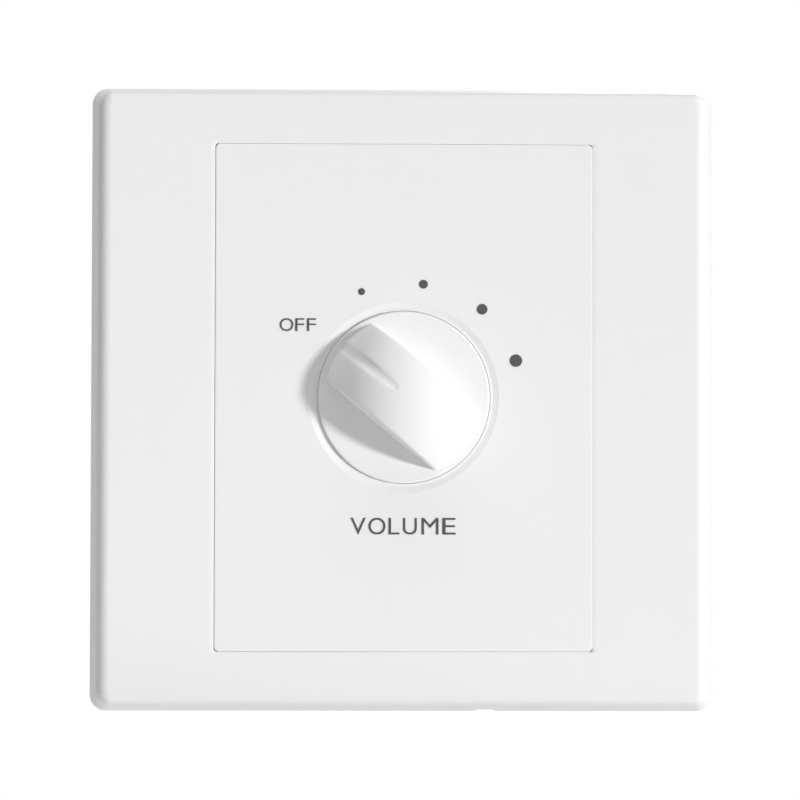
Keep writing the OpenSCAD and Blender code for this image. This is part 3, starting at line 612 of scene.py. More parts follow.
def skin_group(name, **own):
    """Starts a node group for a surface, with its own inputs given as name and socket kind."""
    tree = bpy.data.node_groups.new(name, "ShaderNodeTree")
    inputs = {"Colour": "Color", **own, "Roughness": "Float"}
    outputs = {"Colour": "Color", "Roughness": "Float", "Height": "Float"}
    for way, sockets in (("INPUT", inputs), ("OUTPUT", outputs)):
        for label, kind in sockets.items():
            tree.interface.new_socket(label, in_out=way, socket_type="NodeSocket" + kind)
    return tree, tree.nodes.new("NodeGroupInput").outputs, add(tree, "ShaderNodeTexCoord").outputs


def moulded_skin():
    """Fine grain and faint clouding of moulded plastic."""
    tree, given, place = skin_group("moulded_skin", Clouding="Float", Grain="Float")
    clouds = noise(tree, place["Object"], Scale=70.0, Detail=3.0)
    grain = noise(tree, place["Object"], Scale=given["Grain"], Detail=2.0)
    shade = spread(tree, clouds, To_Min=-1.0, To_Max=1.0)
    bright = calc(tree, "MULTIPLY_ADD", shade, given["Clouding"], 1.0)
    rough = calc(tree, "ADD", given["Roughness"], spread(tree, grain, To_Min=-0.06, To_Max=0.06))
    tone = tinted(tree, given["Colour"], bright)
    add(tree, "NodeGroupOutput", Colour=tone, Roughness=rough, Height=grain)
    return tree


def metal_skin():
    """Mottled tone and fine rolling streaks of plated or rolled metal."""
    tree, given, place = skin_group("metal_skin", Mottle="Float", Streaks="Float")
    blotches = noise(tree, place["Object"], Scale=420.0, Detail=6.0, Roughness=0.6)
    drawn = add(tree, "ShaderNodeMapping", Vector=place["Object"], Scale=(120.0, 4000.0, 4000.0))
    streaks = noise(tree, drawn.outputs["Vector"], Scale=1.0, Detail=3.0)
    shade = spread(tree, blotches, From_Min=0.3, From_Max=0.7, To_Min=-1.0, To_Max=1.0)
    bright = calc(tree, "MULTIPLY_ADD", shade, given["Mottle"], 1.0)
    drift = spread(tree, streaks, To_Min=-0.5, To_Max=0.5)
    rough = calc(tree, "MULTIPLY_ADD", drift, given["Streaks"], given["Roughness"])
    tone = tinted(tree, given["Colour"], bright)
    add(tree, "NodeGroupOutput", Colour=tone, Roughness=rough, Height=streaks)
    return tree


def glass_weave():
    """Crossed threads of the board's glass cloth under its lacquer, bare at its cut edges."""
    tree, given, place = skin_group("glass_weave", Edge="Color", Depth="Float")
    facing = add(tree, "ShaderNodeSeparateXYZ", Vector=place["Normal"]).outputs["Y"]
    lacquered = spread(tree, calc(tree, "ABSOLUTE", facing), From_Min=0.3, From_Max=0.7)
    # A Mix node has its two colours at sockets 6 and 7, and the mixed one at 2
    colour = add(tree, "ShaderNodeMix", data_type="RGBA", Factor=lacquered)
    feed(tree, colour.inputs[6], given["Edge"])
    feed(tree, colour.inputs[7], given["Colour"])
    threads = [add(tree, "ShaderNodeTexWave", bands_direction=way, Vector=place["Object"],
                   Scale=480.0, Distortion=0.6).outputs["Fac"] for way in "XZ"]
    cloth = calc(tree, "MULTIPLY", *threads)
    clouds = noise(tree, place["Object"], Scale=160.0, Detail=4.0)
    bright = calc(tree, "MULTIPLY_ADD", calc(tree, "ADD", cloth, clouds), given["Depth"], 0.85)
    rough = calc(tree, "ADD", given["Roughness"], spread(tree, clouds, To_Min=-0.05, To_Max=0.08))
    tone = tinted(tree, colour.outputs[2], bright)
    add(tree, "NodeGroupOutput", Colour=tone, Roughness=rough, Height=cloth)
    return tree


SKIN = moulded_skin()
METAL = metal_skin()
WEAVE = glass_weave()


def dressed(name, skin, bump, metallic=0.0, specular=0.4, **values):
    """Keeps a finish whose colour, roughness and relief come from one of the skins."""
    finish = bpy.data.materials.new(name)
    finish.use_nodes = True
    tree = finish.node_tree
    layer = add(tree, "ShaderNodeGroup", node_tree=skin, **values).outputs
    relief = add(tree, "ShaderNodeBump", Strength=bump, Distance=RELIEF_DEPTH, Height=layer["Height"])
    fill(tree, tree.nodes["Principled BSDF"], Base_Color=layer["Colour"], Roughness=layer["Roughness"],
         Normal=relief.outputs["Normal"], Metallic=metallic, Specular_IOR_Level=specular)
    FINISHES[name] = finish


def plastic(name, colour, roughness, clouding=0.03, grain=2500.0, bump=0.06, specular=0.4):
    """Moulded plastic, print or lacquer of one colour."""
    dressed(name, SKIN, bump, specular=specular,
            Colour=(*colour, 1), Clouding=clouding, Grain=grain, Roughness=roughness)


def metal(name, colour, roughness, mottle=0.08, streaks=0.2, bump=0.05):
    """Plated, rolled or drawn metal."""
    dressed(name, METAL, bump, metallic=1.0,
            Colour=(*colour, 1), Mottle=mottle, Streaks=streaks, Roughness=roughness)


def laminate(name, colour, edge, roughness):
    """Lacquered glass cloth of the circuit board, bare at its cut edges."""
    dressed(name, WEAVE, bump=0.08, Colour=(*colour, 1), Edge=(*edge, 1), Depth=0.18, Roughness=roughness)


def finishes():
    """Makes the finish of each slot, and those of the traces, the board's print and the floor."""
    plastic("white_plastic", (0.88, 0.88, 0.875), 0.45, clouding=0.004, bump=0.02, specular=0.12)
    plastic("grey_ink", (0.08, 0.08, 0.08), 0.6, clouding=0.05, grain=6000.0)
    plastic("base_plastic", (0.8, 0.8, 0.78), 0.5, clouding=0.02, grain=1800.0, bump=0.12)
    metal("plated_steel", (0.6, 0.61, 0.62), 0.32)
    metal("spring_steel", (0.42, 0.42, 0.43), 0.35)
    metal("zinc_alloy", (0.55, 0.55, 0.54), 0.45, mottle=0.12, streaks=0.1)
    metal("spring_bronze", (0.6, 0.33, 0.14), 0.35)
    metal("contact_brass", (0.7, 0.52, 0.2), 0.3)
    metal("tinned_pins", (0.68, 0.68, 0.66), 0.4, mottle=0.1, streaks=0.15)
    plastic("phenolic", (0.16, 0.08, 0.04), 0.5, clouding=0.15, grain=900.0)
    plastic("nylon", (0.76, 0.73, 0.62), 0.5)
    laminate("board_laminate", (0.05, 0.2, 0.1), (0.3, 0.31, 0.15), 0.36)
    laminate("trace_lacquer", (0.09, 0.31, 0.15), (0.09, 0.31, 0.15), 0.3)
    plastic("board_ink", (0.78, 0.78, 0.76), 0.55, clouding=0.05, grain=4000.0)
    metal("core_steel", (0.2, 0.2, 0.21), 0.5, mottle=0.35, streaks=0.25, bump=0.15)
    plastic("bobbin_plastic", (0.03, 0.03, 0.035), 0.42, clouding=0.1)
    metal("copper_wire", (0.45, 0.16, 0.05), 0.33)
    plastic("yellow_tape", (0.7, 0.5, 0.08), 0.26, clouding=0.06, grain=260.0, bump=0.3, specular=0.5)
    plastic("terminal_plastic", (0.04, 0.28, 0.12), 0.42, clouding=0.05, grain=1800.0)
    plastic("floor_paper", (0.85, 0.85, 0.85), 0.8, clouding=0.01, grain=600.0)


# Front pieces

def cover_frame():
    """Trim frame with leaning sides, a rounded edge, the window and its lip behind."""
    window_w = PANEL_W + 2 * PANEL_GAP
    window_h = PANEL_H + 2 * PANEL_GAP
    side = PLATE - 2 * PLATE_LEAN
    loops = [rect(PLATE, PLATE, PLATE_CORNER, WALL)]
    for inset, drop in quarter_round(PLATE_EDGE, PLATE_EDGE):
        loops.append(rect(side, side, PLATE_CORNER, FACE + drop, inset))
    crease_dip = WINDOW_CREASE * WINDOW_DIP / WINDOW_EDGE
    for grow, dip in ((WINDOW_EDGE + WINDOW_CREASE, 0), (WINDOW_EDGE, crease_dip),
                      (WINDOW_CREASE, WINDOW_DIP), (0, WINDOW_DIP + WINDOW_CREASE),
                      (0, LIP_DEPTH), (LIP_T, LIP_DEPTH), (LIP_T, FACE_T)):
        loops.append(rect(window_w, window_h, WINDOW_CORNER, FACE + dip, inset=-grow))
    loops += [rect(CAVITY, CAVITY, CAVITY_CORNER, y) for y in (FACE + FACE_T, WALL)]
    piece = loft("cover_frame_shell", loops, steps=9, closed=True)
    edge = -PLATE / 2
    cut_box(piece, about(PRY_X, PRY_W / 2), about(WALL, PRY_H),
            (edge - SIDE_WALL, edge + 2 * SIDE_WALL), PRY_ROUND)
    stand_for(polish(piece), "cover_frame")


def insert_panel():
    """Face panel with its rounded edge, the knob's ring and the well of the nut."""
    loops = [rect(PANEL_W, PANEL_H, PANEL_CORNER, BASE_FRONT)]
    for inset, drop in quarter_round(PANEL_EDGE, PANEL_DIP):
        loops.append(rect(PANEL_W, PANEL_H, PANEL_CORNER, FACE + drop, inset))
    ring_floor = FACE + RING_DEPTH
    pocket_floor = ring_floor + POCKET_DEPTH
    back = FACE + PANEL_T
    skirt_w = PANEL_W - 2 * PANEL_T
    skirt_h = PANEL_H - 2 * PANEL_T
    loops += [
        ring(POCKET_R + RING_FLOOR_W + RING_SLOPE, FACE),
        ring(POCKET_R + RING_FLOOR_W, ring_floor),
        ring(POCKET_R, ring_floor),
        ring(POCKET_R, pocket_floor),
        ring(WELL_R, pocket_floor),
        ring(WELL_R, WELL_FLOOR),
        ring(BUSH_HOLE_R, WELL_FLOOR),
        ring(BUSH_HOLE_R, WELL_BACK),
        ring(WELL_R + WELL_T, WELL_BACK),
        ring(WELL_R + WELL_T, back),
        rect(skirt_w, skirt_h, PANEL_CORNER, back),
        rect(skirt_w, skirt_h, PANEL_CORNER, BASE_FRONT),
    ]
    piece = moved(loft("insert_panel_shell", loops, steps=31, closed=True), (PANEL_SHIFT, 0, 0))
    stand_for(polish(piece, PANEL_SHARP), "insert_panel")


def grip():
    """Finger grip: a barrel across the pointer, cut off at the disc and at its two ends."""
    centre_z = GRIP_HALF - GRIP_ROUND
    centre_r = math.sqrt((DOME_R - GRIP_ROUND) ** 2 - centre_z ** 2)
    dome_start = math.atan2(centre_r, centre_z)
    half_barrel = [ring(DOME_CENTRE - DISC, GRIP_HALF + GRIP_LEAN)]
    for i in range(ARC_STEPS + 1):
        a = dome_start * i / ARC_STEPS
        half_barrel.append(ring(centre_r + GRIP_ROUND * math.sin(a), centre_z + GRIP_ROUND * math.cos(a)))
    for i in range(1, ARC_STEPS + 1):
        a = dome_start + (RIGHT_ANGLE - dome_start) * i / ARC_STEPS
        half_barrel.append(ring(DOME_R * math.sin(a), DOME_R * math.cos(a)))
    barrel = loft("grip", half_barrel + mirrored(half_barrel[-2::-1]), steps=47)
    piece = moved(barrel, (0, DOME_CENTRE, 0), UPRIGHT)
    ends = [ring(GRIP_END, DISC + GRIP_FOOT), ring(GRIP_END, APEX - CUT_PAST)]
    carve(piece, loft("grip_ends", ends, steps=39), "INTERSECT")
    return piece


def groove_cutter():
    """Bent round bar that cuts the pointer groove into the grip's back."""
    bend_r = DOME_R + GROOVE_BAR_R - GROOVE_DEPTH
    start = GROOVE_START + GROOVE_BAR_R
    piece = begin("groove_cutter")
    bpy.ops.mesh.primitive_torus_add(
        major_radius=bend_r, minor_radius=GROOVE_BAR_R, major_segments=192, minor_segments=40,
        location=(-GROOVE_SHIFT, DOME_CENTRE, 0))
    bpy.ops.mesh.bisect(plane_co=(start, 0, 0), plane_no=(1, 0, 0), clear_inner=True, use_fill=True)
    mark_all()
    bpy.ops.mesh.bisect(plane_co=(0, DISC, 0), plane_no=(0, 1, 0), clear_outer=True, use_fill=True)
    close(piece)
    end = begin("groove_end")
    bpy.ops.mesh.primitive_uv_sphere_add(
        segments=40, ring_count=20, radius=GROOVE_BAR_R,
        location=(start, DOME_CENTRE - math.sqrt(bend_r ** 2 - (start + GROOVE_SHIFT) ** 2), 0))
    carve(piece, close(end), "UNION")
    return piece


def knob():
    """Turn knob: rimmed disc, domed grip, pointer groove and the bore for the shaft."""
    loops = [ring(KNOB_R, KNOB_UNDER)]
    loops += [ring(KNOB_R - inset, DISC + drop) for inset, drop in quarter_round(RIM_R, RIM_R)]
    piece = loft("knob_shell", loops, steps=39)
    carve(piece, grip(), "UNION")
    carve(piece, groove_cutter())
    bore_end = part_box("switch_shaft")[0].y - SHAFT_ROOM
    bore = [ring(HUB_BORE_R, KNOB_UNDER + CUT_PAST), ring(HUB_BORE_R, bore_end)]
    carve(piece, loft("hub_bore", bore, steps=15))
    moved(piece, (0, 0, 0), (0, -OFF_ANGLE, 0))
    stand_for(polish(piece), "knob")


def level_dots():
    """Four printed dots that grow with the level."""
    piece = begin("level_dots_print")
    for i, (across, up) in enumerate(DOT_NUDGES):
        angle = OFF_ANGLE - (i + 1) * STEP_ANGLE
        place = (DOT_ARC * math.cos(angle) + across * MM, FACE - INK_T / 2,
                 DOT_ARC * math.sin(angle) - DOT_DROP + up * MM)
        mark_none()
        bpy.ops.mesh.primitive_cylinder_add(
            vertices=48, radius=(DOT_D + i * DOT_GROWTH) / 2, depth=INK_T, location=place, rotation=UPRIGHT)
        bpy.ops.mesh.bevel(affect="EDGES", offset=INK_T / 4, segments=2)
    stand_for(polish(close(piece)), "level_dots")


def letter(sign, left, right, low, high):
    """One printed capital, fitted between its left, right, lower and upper edges."""
    bpy.ops.object.select_all(action="DESELECT")
    bpy.ops.object.text_add(rotation=UPRIGHT)
    piece = bpy.context.object
    piece.data.body = sign
    piece.data.extrude = SIGN_DEPTH
    piece.data.offset = STROKE_OFFSET
    bpy.ops.object.convert(target="MESH")
    # The first and the seventh corner of a bound box are its lowest and its highest
    near = Vector(piece.bound_box[0])
    far = Vector(piece.bound_box[6])
    size = far - near
    middle = (near + far) / 2
    piece.scale = ((right - left) / size.x, (high - low) / size.y, INK_T / size.z)
    piece.location = ((left + right) / 2 - middle.x * piece.scale.x, FACE - INK_T / 2,
                      (low + high) / 2 - middle.y * piece.scale.y)
    place_in_mesh(piece)
    return piece


def lettering(name, signs, low, high):
    """Prints a plain word on the panel, from each sign's left and right edge."""
    letters = [letter(sign, left * MM, right * MM, low * MM, high * MM) for sign, left, right in signs]
    settle(joined(letters, name), "grey_ink")


# Works behind the wall

def mounting_base():
    """Base plate with soft edges, its posts and the marks of the mould's ejector pins."""
    piece = softened("mounting_base", BASE_EDGE)
    for x in EJECTOR_X:
        for z in EJECTOR_Z:
            drill(piece, EJECTOR_R, x, z, WALL - EJECTOR_DEPTH, WALL + CUT_PAST)
    polish(piece)


def screw(shank_r, tip, length, head_r, head_t, edge, steps):
    """A screw along Y that points forwards, with the underside of its head at Y = 0."""
    loops = [ring(shank_r / 2, -length), ring(shank_r, tip - length), ring(shank_r, 0), ring(head_r, 0)]
    loops += [ring(head_r - inset, head_t - drop) for inset, drop in quarter_round(edge, edge)]
    return loft("screw", loops, steps)


def pan_screws(node):
    """The screws of one node, at the corners of its box: pan heads with a cross recess."""
    low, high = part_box(node)
    length = high.y - HEAD_T - low.y
    piece = screw(SCREW_R, SCREW_R, length, HEAD_R, HEAD_T, edge=HEAD_T - HEAD_SIDE, steps=9)
    for arm_x, arm_z in ((CROSS_L, CROSS_W), (CROSS_W, CROSS_L)):
        cut_box(piece, about(0, arm_x / 2), about(HEAD_T, CROSS_DEPTH), about(0, arm_z / 2), CROSS_ROUND)
    columns = (low.x + HEAD_R, high.x - HEAD_R)
    rows = (low.z + HEAD_R, high.z - HEAD_R)
    # A node whose box is one head high has a single row
    if rows[1] - rows[0] < HEAD_R:
        rows = ((low.z + high.z) / 2,)
    places = [(x, high.y - HEAD_T, z) for x in columns for z in rows]
    stand_for(polish(copies(piece, node + "_set", places)), node)


def sheet_stack(sheet, name, node, seed):
    """Thickens an open core sheet and stacks it along Z, each copy a hair out of line."""
    mark_all()
    bpy.ops.mesh.extrude_region_move(TRANSFORM_OT_translate={"value": (0, 0, SHEET_PITCH - SHEET_GAP)})
    pattern = rounded(close(sheet), SHEET_EDGE, segments=1)
    slip = random.Random(seed)
    places = []
    for i in range(SHEETS):
        x = slip.uniform(-SHEET_SLIP, SHEET_SLIP)
        y = slip.uniform(-SHEET_SLIP, SHEET_SLIP)
        places.append((x, y, stack_low.z + i * SHEET_PITCH))
    stand_for(polish(copies(pattern, name, places)), node)


def core_sheet(name, y0, y1):
    """Flat rectangle of core sheet between two depths, still open in edit mode."""
    piece = begin(name)
    middle = (0, (y0 + y1) / 2, 0)
    bpy.ops.mesh.primitive_plane_add(size=1, location=middle)
    bpy.ops.transform.resize(value=(stack_high.x - stack_low.x, y1 - y0, 1), center_override=middle)
    return piece


def core_stacks():
    """E-shaped and I-shaped sheets of the transformer's core."""
    yoke_front = stack_high.y - LIMB
    piece = core_sheet("e_sheet", yoke_front, stack_high.y)
    for x in (-2 * LIMB, -LIMB, LIMB, 2 * LIMB):
        mark_all()
        bpy.ops.mesh.bisect(plane_co=(x, 0, 0), plane_no=(1, 0, 0))
    for left, right in ((-3 * LIMB, -2 * LIMB), (-LIMB, LIMB), (2 * LIMB, 3 * LIMB)):
        pick(piece, lambda co: co.y < yoke_front + PICK_SLACK
             and left - PICK_SLACK < co.x < right + PICK_SLACK)
        bpy.ops.mesh.extrude_edges_move(
            TRANSFORM_OT_translate={"value": (0, stack_low.y - yoke_front, 0)})
    sheet_stack(piece, "core_e_sheets", "core_e_stack", E_SEED)
    piece = core_sheet("i_sheet", yoke_low.y, yoke_high.y)
    sheet_stack(piece, "core_i_sheets", "core_i_stack", I_SEED)


def coil_winding():
    """Copper winding, whose outer turns are ridges side by side."""
    low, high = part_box("coil_winding")
    pitch = (high.y - low.y) / WIRE_TURNS
    loops = [rect(WINDING_BORE_W, WINDING_BORE_H, WINDING_BORE_CORNER, y) for y in (high.y, low.y)]
    for turn in range(WIRE_TURNS):
        for i in range(WIRE_STEPS):
            a = math.pi * (i + 0.5) / WIRE_STEPS
            y = low.y + pitch * (turn + (1 - math.cos(a)) / 2)
            loops.append(rect(high.x - low.x, high.z - low.z, WINDING_CORNER, y,
                              inset=pitch / 2 * (1 - math.sin(a))))
    piece = moved(loft("coil_winding_turns", loops, steps=5, closed=True), (0, 0, COIL_Z))
    stand_for(polish(piece), "coil_winding")


def coil_tape():
    """Tape round the winding: a lower turn, a narrower upper turn and its loose end."""
    low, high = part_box("coil_tape")
    width = high.x - low.x
    height = high.z - low.z
    loops = [rect(width, height, TAPE_CORNER, y, inset) for inset, y in (
        (TAPE_STEP, low.y),
        (TAPE_STEP, low.y + TAPE_MARGIN),
        (0, low.y + TAPE_MARGIN + TAPE_STEP),
        (0, high.y - TAPE_MARGIN - TAPE_STEP),
        (TAPE_STEP, high.y - TAPE_MARGIN),
        (TAPE_STEP, high.y),
        (TAPE_WALL, high.y),
        (TAPE_WALL, low.y))]
    piece = loft("coil_tape_turns", loops, steps=7, closed=True)
    end = block("tape_end", (-width / 2 + TAPE_CORNER, low.y + 2 * TAPE_MARGIN, height / 2 - TAPE_STEP),
                (width / 6, high.y - TAPE_MARGIN / 2, height / 2 + TAPE_STEP), TAPE_END_ROUND)
    carve(piece, end, "UNION")
    moved(piece, (0, 0, COIL_Z))
    stand_for(polish(piece, CUT_SHARP), "coil_tape")


def start_point(place):
    """Starts a path in the open piece: a small plane merged into a point."""
    bpy.ops.mesh.primitive_plane_add(size=1 * MM, location=place)
    bpy.ops.mesh.merge(type="CENTER")


def transformer_strap():
    """Bent steel strap over the core, with drilled ears."""
    ear_y = strap_low.y + STRAP_T / 2
    back_y = strap_high.y - STRAP_T / 2
    side_x = (stack_high.x - stack_low.x + STRAP_T) / 2
    path = [Vector((x, y, strap_low.z)) for x, y in (
        (strap_low.x, ear_y), (-side_x, ear_y), (-side_x, back_y),
        (side_x, back_y), (side_x, ear_y), (strap_high.x, ear_y))]
    piece = begin("strap_sheet")
    start_point(path[0])
    for old, new in zip(path, path[1:]):
        bpy.ops.mesh.extrude_vertices_move(TRANSFORM_OT_translate={"value": new - old})
    pick(piece, lambda co: abs(co.x) < side_x + PICK_SLACK)
    bpy.ops.mesh.bevel(affect="VERTICES", offset=STRAP_BEND, segments=6)
    mark_all()
    bpy.ops.mesh.extrude_edges_move(TRANSFORM_OT_translate={"value": (0, 0, strap_high.z - strap_low.z)})
    pick(piece, lambda co: abs(co.x) > strap_high.x - PICK_SLACK)
    bpy.ops.mesh.bevel(affect="VERTICES", offset=STRAP_END, segments=6)
    close(piece)
    modify(piece, "SOLIDIFY", thickness=STRAP_T, offset=0, use_even_offset=True)
    screw_low, screw_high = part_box("strap_screws")
    for x in (screw_low.x + HEAD_R, screw_high.x - HEAD_R):
        drill(piece, SCREW_R + STRAP_HOLE_GAP, x, COIL_Z, strap_low.y - CUT_PAST, strap_low.y + 2 * STRAP_T)
    stand_for(polish(rounded(piece, STRAP_EDGE)), "transformer_strap")


def lead(points):
    """One end of the winding: thin round wire along a smooth path."""
    curve = bpy.data.curves.new("lead", "CURVE")
    curve.dimensions = "3D"
    curve.bevel_depth = LEAD_R
    curve.bevel_resolution = 2
    curve.use_fill_caps = True
    spline = curve.splines.new("NURBS")
    spline.points.add(len(points) - 1)
    for point, place in zip(spline.points, points):
        point.co = (*place, 1)
    spline.use_endpoint_u = True
    spline.order_u = 3
    spline.resolution_u = 4
    piece = link_piece("lead", curve)
    only(piece)
    bpy.ops.object.convert(target="MESH")
    return piece


def lead_wires():
    """Ends of the winding, from under the tape over the bobbin to their pins."""
    tape_low, tape_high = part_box("coil_tape")
    leads = []
    for row, outward, edge, skin in ((PIN_ROWS[0], -1, coil_low.z, tape_low.z),
                                     (PIN_ROWS[1], 1, coil_high.z, tape_high.z)):
        over = edge + outward * LEAD_LIFT
        tape_levels = (skin - outward * LEAD_R, skin + outward * LEAD_LIFT, over, over)
        foot_levels = (over, edge - outward * LEAD_DIP, row + outward * (COIL_PIN_R + LEAD_R))
        for x in COIL_PIN_X:
            points = [(x + beside * MM, tape_low.y + behind * MM, level)
                      for (beside, behind), level in zip(LEAD_AT_TAPE, tape_levels)]
            points += [(x, coil_low.y + behind * MM, level)
                       for behind, level in zip(LEAD_AT_FOOT, foot_levels)]
            leads.append(lead(points))
    settle(polish(joined(leads, "lead_wires")), "copper_wire")


def lead_turns():
    """Turns of the leads round their pins."""
    piece = begin("lead_turns")
    for x, z in COIL_PIN_PLACES:
        for turn in range(LEAD_TURNS):
            mark_none()
            bpy.ops.mesh.primitive_torus_add(
                major_radius=COIL_PIN_R + LEAD_R, minor_radius=LEAD_R, major_segments=20, minor_segments=8,
                rotation=UPRIGHT, location=(x, coil_low.y + (turn + 1) * LEAD_PITCH, z))
    settle(polish(close(piece)), "copper_wire")


def terminal_block():
    """Housing of the terminals, with wire openings below and screw wells behind."""
    piece = block("terminal_block", block_low, block_high, BLOCK_ROUND)
    below = block_low.z - CUT_PAST
    behind = block_high.y + CUT_PAST
    for x in WAY_X:
        cut_box(piece, about(x, CAGE_W / 2 + CAGE_ROOM), (block_low.y - CUT_PAST, cage_high.y + CAGE_ROOM),
                (cage_low.z - CAGE_ROOM, cage_high.z + CAGE_ROOM), CAGE_ROUND)
        cut_box(piece, about(x, WIRE_W / 2), about(WIRE_Y, WIRE_H / 2),
                (below, cage_low.z + WIRE_INTO_CAGE), WIRE_ROUND)
        cut_box(piece, about(x, WIRE_W / 2 + FUNNEL), about(WIRE_Y, WIRE_H / 2 + FUNNEL),
                (below, block_low.z + FUNNEL), FUNNEL_ROUND)
        drill(piece, CLAMP_R + CLAMP_ROOM, x, BLOCK_Z, cage_high.y - CUT_PAST, behind)
    for left, right in zip(WAY_X, WAY_X[1:]):
        groove = about((left + right) / 2, GROOVE_HALF)
        cut_box(piece, groove, (block_high.y - GROOVE_BACK, behind),
                (below, block_high.z + CUT_PAST), FINE_ROUND)
        cut_box(piece, groove, (block_low.y + GROOVE_FRONT, behind),
                (below, block_low.z + GROOVE_FOOT), FINE_ROUND)
    stand_for(polish(piece, CUT_SHARP), "terminal_housing")


def terminal_screws():
    """Slotted clamp screws of the terminals."""
    length = clamp_high.y - clamp_low.y - CLAMP_HEAD_T
    piece = screw(CLAMP_SHANK_R, CLAMP_SHANK_R / 2, length, CLAMP_R, CLAMP_HEAD_T, CLAMP_EDGE, steps=7)
    cut_box(piece, about(0, 2 * CLAMP_R), about(CLAMP_HEAD_T, CLAMP_SLOT_DEPTH),
            about(0, CLAMP_SLOT_W / 2), FINE_ROUND)
    places = [(x, clamp_high.y - CLAMP_HEAD_T, BLOCK_Z) for x in WAY_X]
    stand_for(polish(copies(piece, "terminal_screw_set", places)), "terminal_screws")


def switch_pins():
    """Places where the switch's pins come through the board."""
    places = [(CONTACT_R, angle) for angle in CONTACTS] + [(COMMON_R, CONTACTS[2])]
    return [(radius * math.cos(angle), radius * math.sin(angle)) for radius, angle in places]


def solder_joints():
    """Solder cones round the switch's pins behind the board, and round the others in front."""
    cone = [ring(radius * MM, height * MM) for radius, height in SOLDER_CONE]
    behind = copies(loft("cone", cone, steps=5), "switch_solder",
                    [(x, board_high.y, z) for x, z in switch_pins()])
    pins = COIL_PIN_PLACES + [(x, BLOCK_Z) for x in WAY_X]
    places = [(x, board_low.y, z) for x, z in pins]
    front = copies(loft("cone", mirrored(cone), steps=5), "board_solder", places)
    for piece in (behind, front):
        settle(polish(piece, CONE_SHARP), "tinned_pins")


def side_points(path, half_w):
    """Left and right edge points of a trace along a path, with mitred bends."""
    legs = [(end - start).normalized() for start, end in zip(path, path[1:])]
    pairs = []
    for here, came, goes in zip(path, legs[:1] + legs, legs + legs[-1:]):
        along = (came + goes).normalized()
        across = Vector((-along.z, 0, along.x)) * (half_w / max(MITRE_LIMIT, along.dot(goes)))
        pairs.append((here + across, here - across))
    return pairs


def trace(piece, path, half_w):
    """Draws a strip on the board's back by extruding its first edge along a path in mm."""
    pairs = side_points([Vector((x * MM, board_high.y, z * MM)) for x, z in path], half_w)
    mark_none()
    start_point(pairs[0][0])
    bpy.ops.mesh.extrude_vertices_move(TRANSFORM_OT_translate={"value": pairs[0][1] - pairs[0][0]})
    count = len(bmesh.from_edit_mesh(piece.data).verts)
    edge = (count - 2, count - 1)
    for old, new in zip(pairs, pairs[1:]):
        select_points(piece, edge)
        rim = sorted(extruded_edges(piece), key=lambda point: (point[1] - old[0]).length)
        edge = [index for index, co in rim]
        for index, start, end in zip(edge, old, new):
            select_points(piece, [index])
            bpy.ops.transform.translate(value=end - start)


def raise_strips(piece, thickness):
    """Gives the strips drawn on the board their thickness."""
    mark_all()
    bpy.ops.mesh.normals_make_consistent()
    bpy.ops.mesh.extrude_region_move(TRANSFORM_OT_translate={"value": (0, thickness, 0)})
    return polish(close(piece), CUT_SHARP)


def board_traces():
    """Lacquered copper traces from the switch to the transformer and the terminals."""
    pins = [(x / MM, z / MM) for x, z in switch_pins()]
    low_row, high_row = [z / MM for z in PIN_ROWS]
    ways = [x / MM for x in WAY_X]
    foot = BLOCK_Z / MM
    piece = begin("board_traces")
    for path in (
            [pins[4], (-8, pins[4][1] + 0.97), (-8, low_row)],
            [pins[3], (pins[3][0], -2.0), (-4, -1.2), (-4, low_row)],
            [pins[2], (-2.6, -6.0), (-2.6, -2.2), (0, 0.4), (0, low_row)],
            [pins[1], (pins[1][0], -2.5), (4, -1.1), (4, low_row)],
            [pins[0], (pins[0][0], -3.0), (8, -0.8), (8, low_row)]):
        trace(piece, path, TAP_HALF)
    trace(piece, [pins[5], (0.7, -5.8), (0.7, -16.0), (ways[2], -17.9), (ways[2], foot)], LINE_HALF)
    for side, way in ((-1, ways[0]), (1, ways[3])):
        trace(piece, [(way, foot), (way, -17.5), (side * 14.5, -10.6), (side * 14.5, 18.0),
                      (side * 10.2, high_row), (side * 8, high_row)], LINE_HALF)
    settle(raise_strips(piece, TRACE_T), "board_laminate", finish="trace_lacquer")


def board_print():
    """Printed outlines of the transformer and the terminal block on the board's back."""
    side = coil_high.x / MM + PRINT_CLEAR
    low = coil_low.z / MM - PRINT_CLEAR
    high = coil_high.z / MM + PRINT_CLEAR
    block_side = block_high.x / MM + PRINT_CLEAR
    block_top = block_high.z / MM + PRINT_CLEAR
    foot = board_low.z / MM + PRINT_CLEAR
    piece = begin("board_print")
    for path in (
            [(PRINT_BREAK, low), (side, low), (side, high),
             (-side, high), (-side, low), (-PRINT_BREAK, low)],
            [(-block_side, foot), (-block_side, block_top), (block_side, block_top), (block_side, foot)]):
        trace(piece, path, PRINT_HALF)
    settle(raise_strips(piece, PRINT_T), "white_plastic", finish="board_ink")


def screw_pads():
    """Tinned rings on the board under the heads of its screws."""
    low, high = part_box("board_screws")
    loops = [ring(PAD_R, 0), ring(PAD_R, TRACE_T), ring(PAD_HOLE_R, TRACE_T), ring(PAD_HOLE_R, 0)]
    places = [(x, board_high.y, low.z + HEAD_R) for x in (low.x + HEAD_R, high.x - HEAD_R)]
    piece = copies(loft("pad", loops, steps=11, closed=True), "board_pads", places)
    settle(polish(piece), "tinned_pins")


# Camera, light and floor

CAMERA_DISTANCE = 500 * MM
CAMERA_LEFT = math.radians(1.45)
CAMERA_BELOW = math.radians(2.1)
CAMERA_ROLL = math.radians(0.12)
VIEW_WIDTH = 110.8 * MM
AIM = Vector((-0.3, 0, -0.07)) * MM
SENSOR = 36.0

